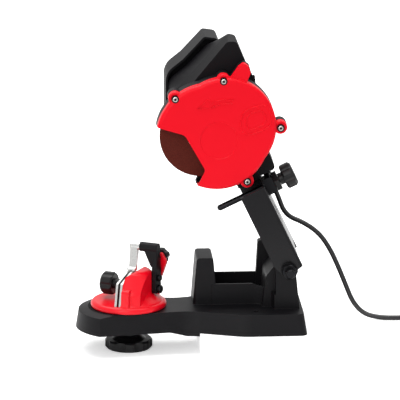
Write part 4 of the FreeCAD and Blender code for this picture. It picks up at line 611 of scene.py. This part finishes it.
class SHARPENER_OT_lead(bpy.types.Operator):
    """Mains lead from the gland to its coil and plug"""
    bl_idname = "sharpener.lead"
    bl_label = "Mains lead"

    def execute(self, context):
        sizes, colours = settings()
        material = pvc_black_extruded(sizes, colours)
        route = [Vector(point) * MM for point in CORD_ROUTE] + self.coil_points(sizes)
        route += [Vector(PLUG_APPROACH) * MM, Vector(PLUG_LEAD) * MM]
        line = curve_piece("lead_line", route, 0.0, smooth=True)
        line.data.resolution_u = 6
        path = [vertex.co.copy() for vertex in self.as_mesh(line).vertices]
        line.data.bevel_depth = CORD_RADIUS * MM
        line.data.bevel_resolution = 4
        line.data.use_fill_caps = True
        tube = self.as_mesh(line)
        bpy.data.objects.remove(line)
        lead = bpy.data.objects.new("mains_lead", tube)
        context.scene.collection.objects.link(lead)
        tube.materials.append(material)
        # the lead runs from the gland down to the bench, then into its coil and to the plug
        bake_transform(lead)
        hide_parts("power_cord", "cord_coil")
        finish(pvc_black_extruded, "cable_gland", "mains_plug")
        return {"FINISHED"}

    def as_mesh(self, curve):
        """The curve as it is drawn now, as a mesh."""
        bpy.context.view_layer.update()
        drawn = curve.evaluated_get(bpy.context.evaluated_depsgraph_get())
        return bpy.data.meshes.new_from_object(drawn)

    def coil_points(self, sizes):
        """Turns of the coil: an inner column going up, then an outer one coming down."""
        shrink = math.cos(math.pi / COIL_STEPS)      # the spline runs inside its control points
        rise = COIL_PITCH / COIL_STEPS
        climb = int(sizes.coil_turns_inner * COIL_STEPS)
        descend = int(sizes.coil_turns_outer * COIL_STEPS)
        top = COIL_LOW + rise * climb
        points = []
        for i in range(climb + descend + 1):
            angle = math.radians(-90 + 360 * i / COIL_STEPS)
            if i <= climb:
                radius = COIL_INNER
                height = COIL_LOW + rise * i
            else:
                share = min(1.0, (i - climb) / COLUMN_CHANGE_STEPS)
                radius = COIL_INNER + (COIL_OUTER - COIL_INNER) * share
                height = top - rise * (i - climb)
            reach = radius / shrink
            points.append(Vector((COIL_CENTRE[0] + reach * math.cos(angle),
                                  COIL_CENTRE[1] + reach * math.sin(angle), height)) * MM)
        return points


class SHARPENER_OT_stage(bpy.types.Operator):
    """White bench with an edge, soft lights and the camera"""
    bl_idname = "sharpener.stage"
    bl_label = "Stage"

    def execute(self, context):
        self.floor()
        self.lights()
        self.camera(context)
        context.scene.view_settings.view_transform = "Standard"
        return {"FINISHED"}

    def floor(self):
        """Bench top behind its edge, and a lower step in front that the hanging knob clears."""
        wide, near, deep = 3.0, -0.5, 3.5
        edge = BENCH_EDGE_X * MM
        low = LOW_STEP_Z * MM
        corners = [(wide, 0.0), (edge, 0.0), (edge, low), (-wide, low)]
        mesh = bpy.data.meshes.new("bench")
        vertices = [(x, y, z) for y in (near, deep) for x, z in corners]
        mesh.from_pydata(vertices, [], [(i, i + 1, i + 5, i + 4) for i in range(3)])
        bench = bpy.data.objects.new("bench", mesh)
        bpy.context.scene.collection.objects.link(bench)
        mesh.materials.append(paper_white_floor(*settings()))

    def lights(self):
        """White surroundings, dimmer as light than as a background, and two large softboxes."""
        world = bpy.data.worlds.new("studio")
        bpy.context.scene.world = world
        world.use_nodes = True
        tree = world.node_tree
        tree.nodes.clear()
        path = add(tree, "ShaderNodeLightPath")
        seen = add(tree, "ShaderNodeMath", {0: path.outputs["Is Camera Ray"],
                                            1: path.outputs["Is Transmission Ray"]}, operation="MAXIMUM")
        mirrored = add(tree, "ShaderNodeMapRange", {"Value": path.outputs["Is Glossy Ray"], "To Min": 0.55,
                                                    "To Max": 0.75})
        level = add(tree, "ShaderNodeMath", {0: seen.outputs["Value"], 1: mirrored.outputs["Result"]},
                    operation="MAXIMUM")
        sky = add(tree, "ShaderNodeBackground", {"Color": (1, 1, 1, 1), "Strength": level.outputs["Value"]})
        add(tree, "ShaderNodeOutputWorld", {"Surface": sky.outputs["Background"]})
        self.softbox("overhead_softbox", (-0.1, 0.5, 2.5), 3.2, 82.0)
        self.softbox("front_softbox", (-1.1, -2.4, 1.3), 1.8, 26.0)

    def softbox(self, name, place, size, power):
        lamp = bpy.data.lights.new(name, "AREA")
        lamp.size = size
        lamp.energy = power
        piece = bpy.data.objects.new(name, lamp)
        piece.location = place
        aim = Vector(LAMP_TARGET) - Vector(place)
        piece.rotation_euler = aim.to_track_quat("-Z", "Y").to_euler()
        bpy.context.scene.collection.objects.link(piece)

    def camera(self, context):
        azimuth, elevation = math.radians(CAMERA_AZIMUTH), math.radians(CAMERA_ELEVATION)
        ahead = Vector((-math.sin(azimuth) * math.cos(elevation), math.cos(azimuth) * math.cos(elevation),
                        -math.sin(elevation)))
        camera = bpy.data.cameras.new("camera")
        camera.lens = CAMERA_LENS
        camera.sensor_width = 36
        camera.clip_end = 50
        view = bpy.data.objects.new("camera", camera)
        view.location = Vector(CAMERA_TARGET) * MM - ahead * CAMERA_DISTANCE
        view.rotation_euler = ahead.to_track_quat("-Z", "Y").to_euler()
        context.scene.collection.objects.link(view)
        context.scene.camera = view


class SHARPENER_PT_panel(bpy.types.Panel):
    """Lists the sharpener's pieces and settings"""
    bl_idname = "SHARPENER_PT_panel"
    bl_label = "Chainsaw sharpener"
    bl_space_type = "VIEW_3D"
    bl_region_type = "UI"
    bl_category = "Sharpener"

    def draw(self, context):
        for group in (context.scene.sharpener_sizes, context.scene.sharpener_colours):
            for name in group.__annotations__:
                self.layout.prop(group, name)
        for operator in PIECES:
            self.layout.operator(operator.bl_idname)


PIECES = (SHARPENER_OT_base, SHARPENER_OT_arm, SHARPENER_OT_guard, SHARPENER_OT_marks,
          SHARPENER_OT_housing, SHARPENER_OT_motor, SHARPENER_OT_disc, SHARPENER_OT_vise,
          SHARPENER_OT_knobs, SHARPENER_OT_lead, SHARPENER_OT_stage)
CLASSES = (SharpenerSizes, SharpenerColours) + PIECES + (SHARPENER_PT_panel,)


def register():
    for item in CLASSES:
        bpy.utils.register_class(item)
    bpy.types.Scene.sharpener_sizes = bpy.props.PointerProperty(type=SharpenerSizes)
    bpy.types.Scene.sharpener_colours = bpy.props.PointerProperty(type=SharpenerColours)


def unregister():
    del bpy.types.Scene.sharpener_colours
    del bpy.types.Scene.sharpener_sizes
    for item in reversed(CLASSES):
        bpy.utils.unregister_class(item)


def main():
    register()
    for operator in PIECES:
        group, name = operator.bl_idname.split(".")
        getattr(getattr(bpy.ops, group), name)()


if __name__ == "__main__":
    main()
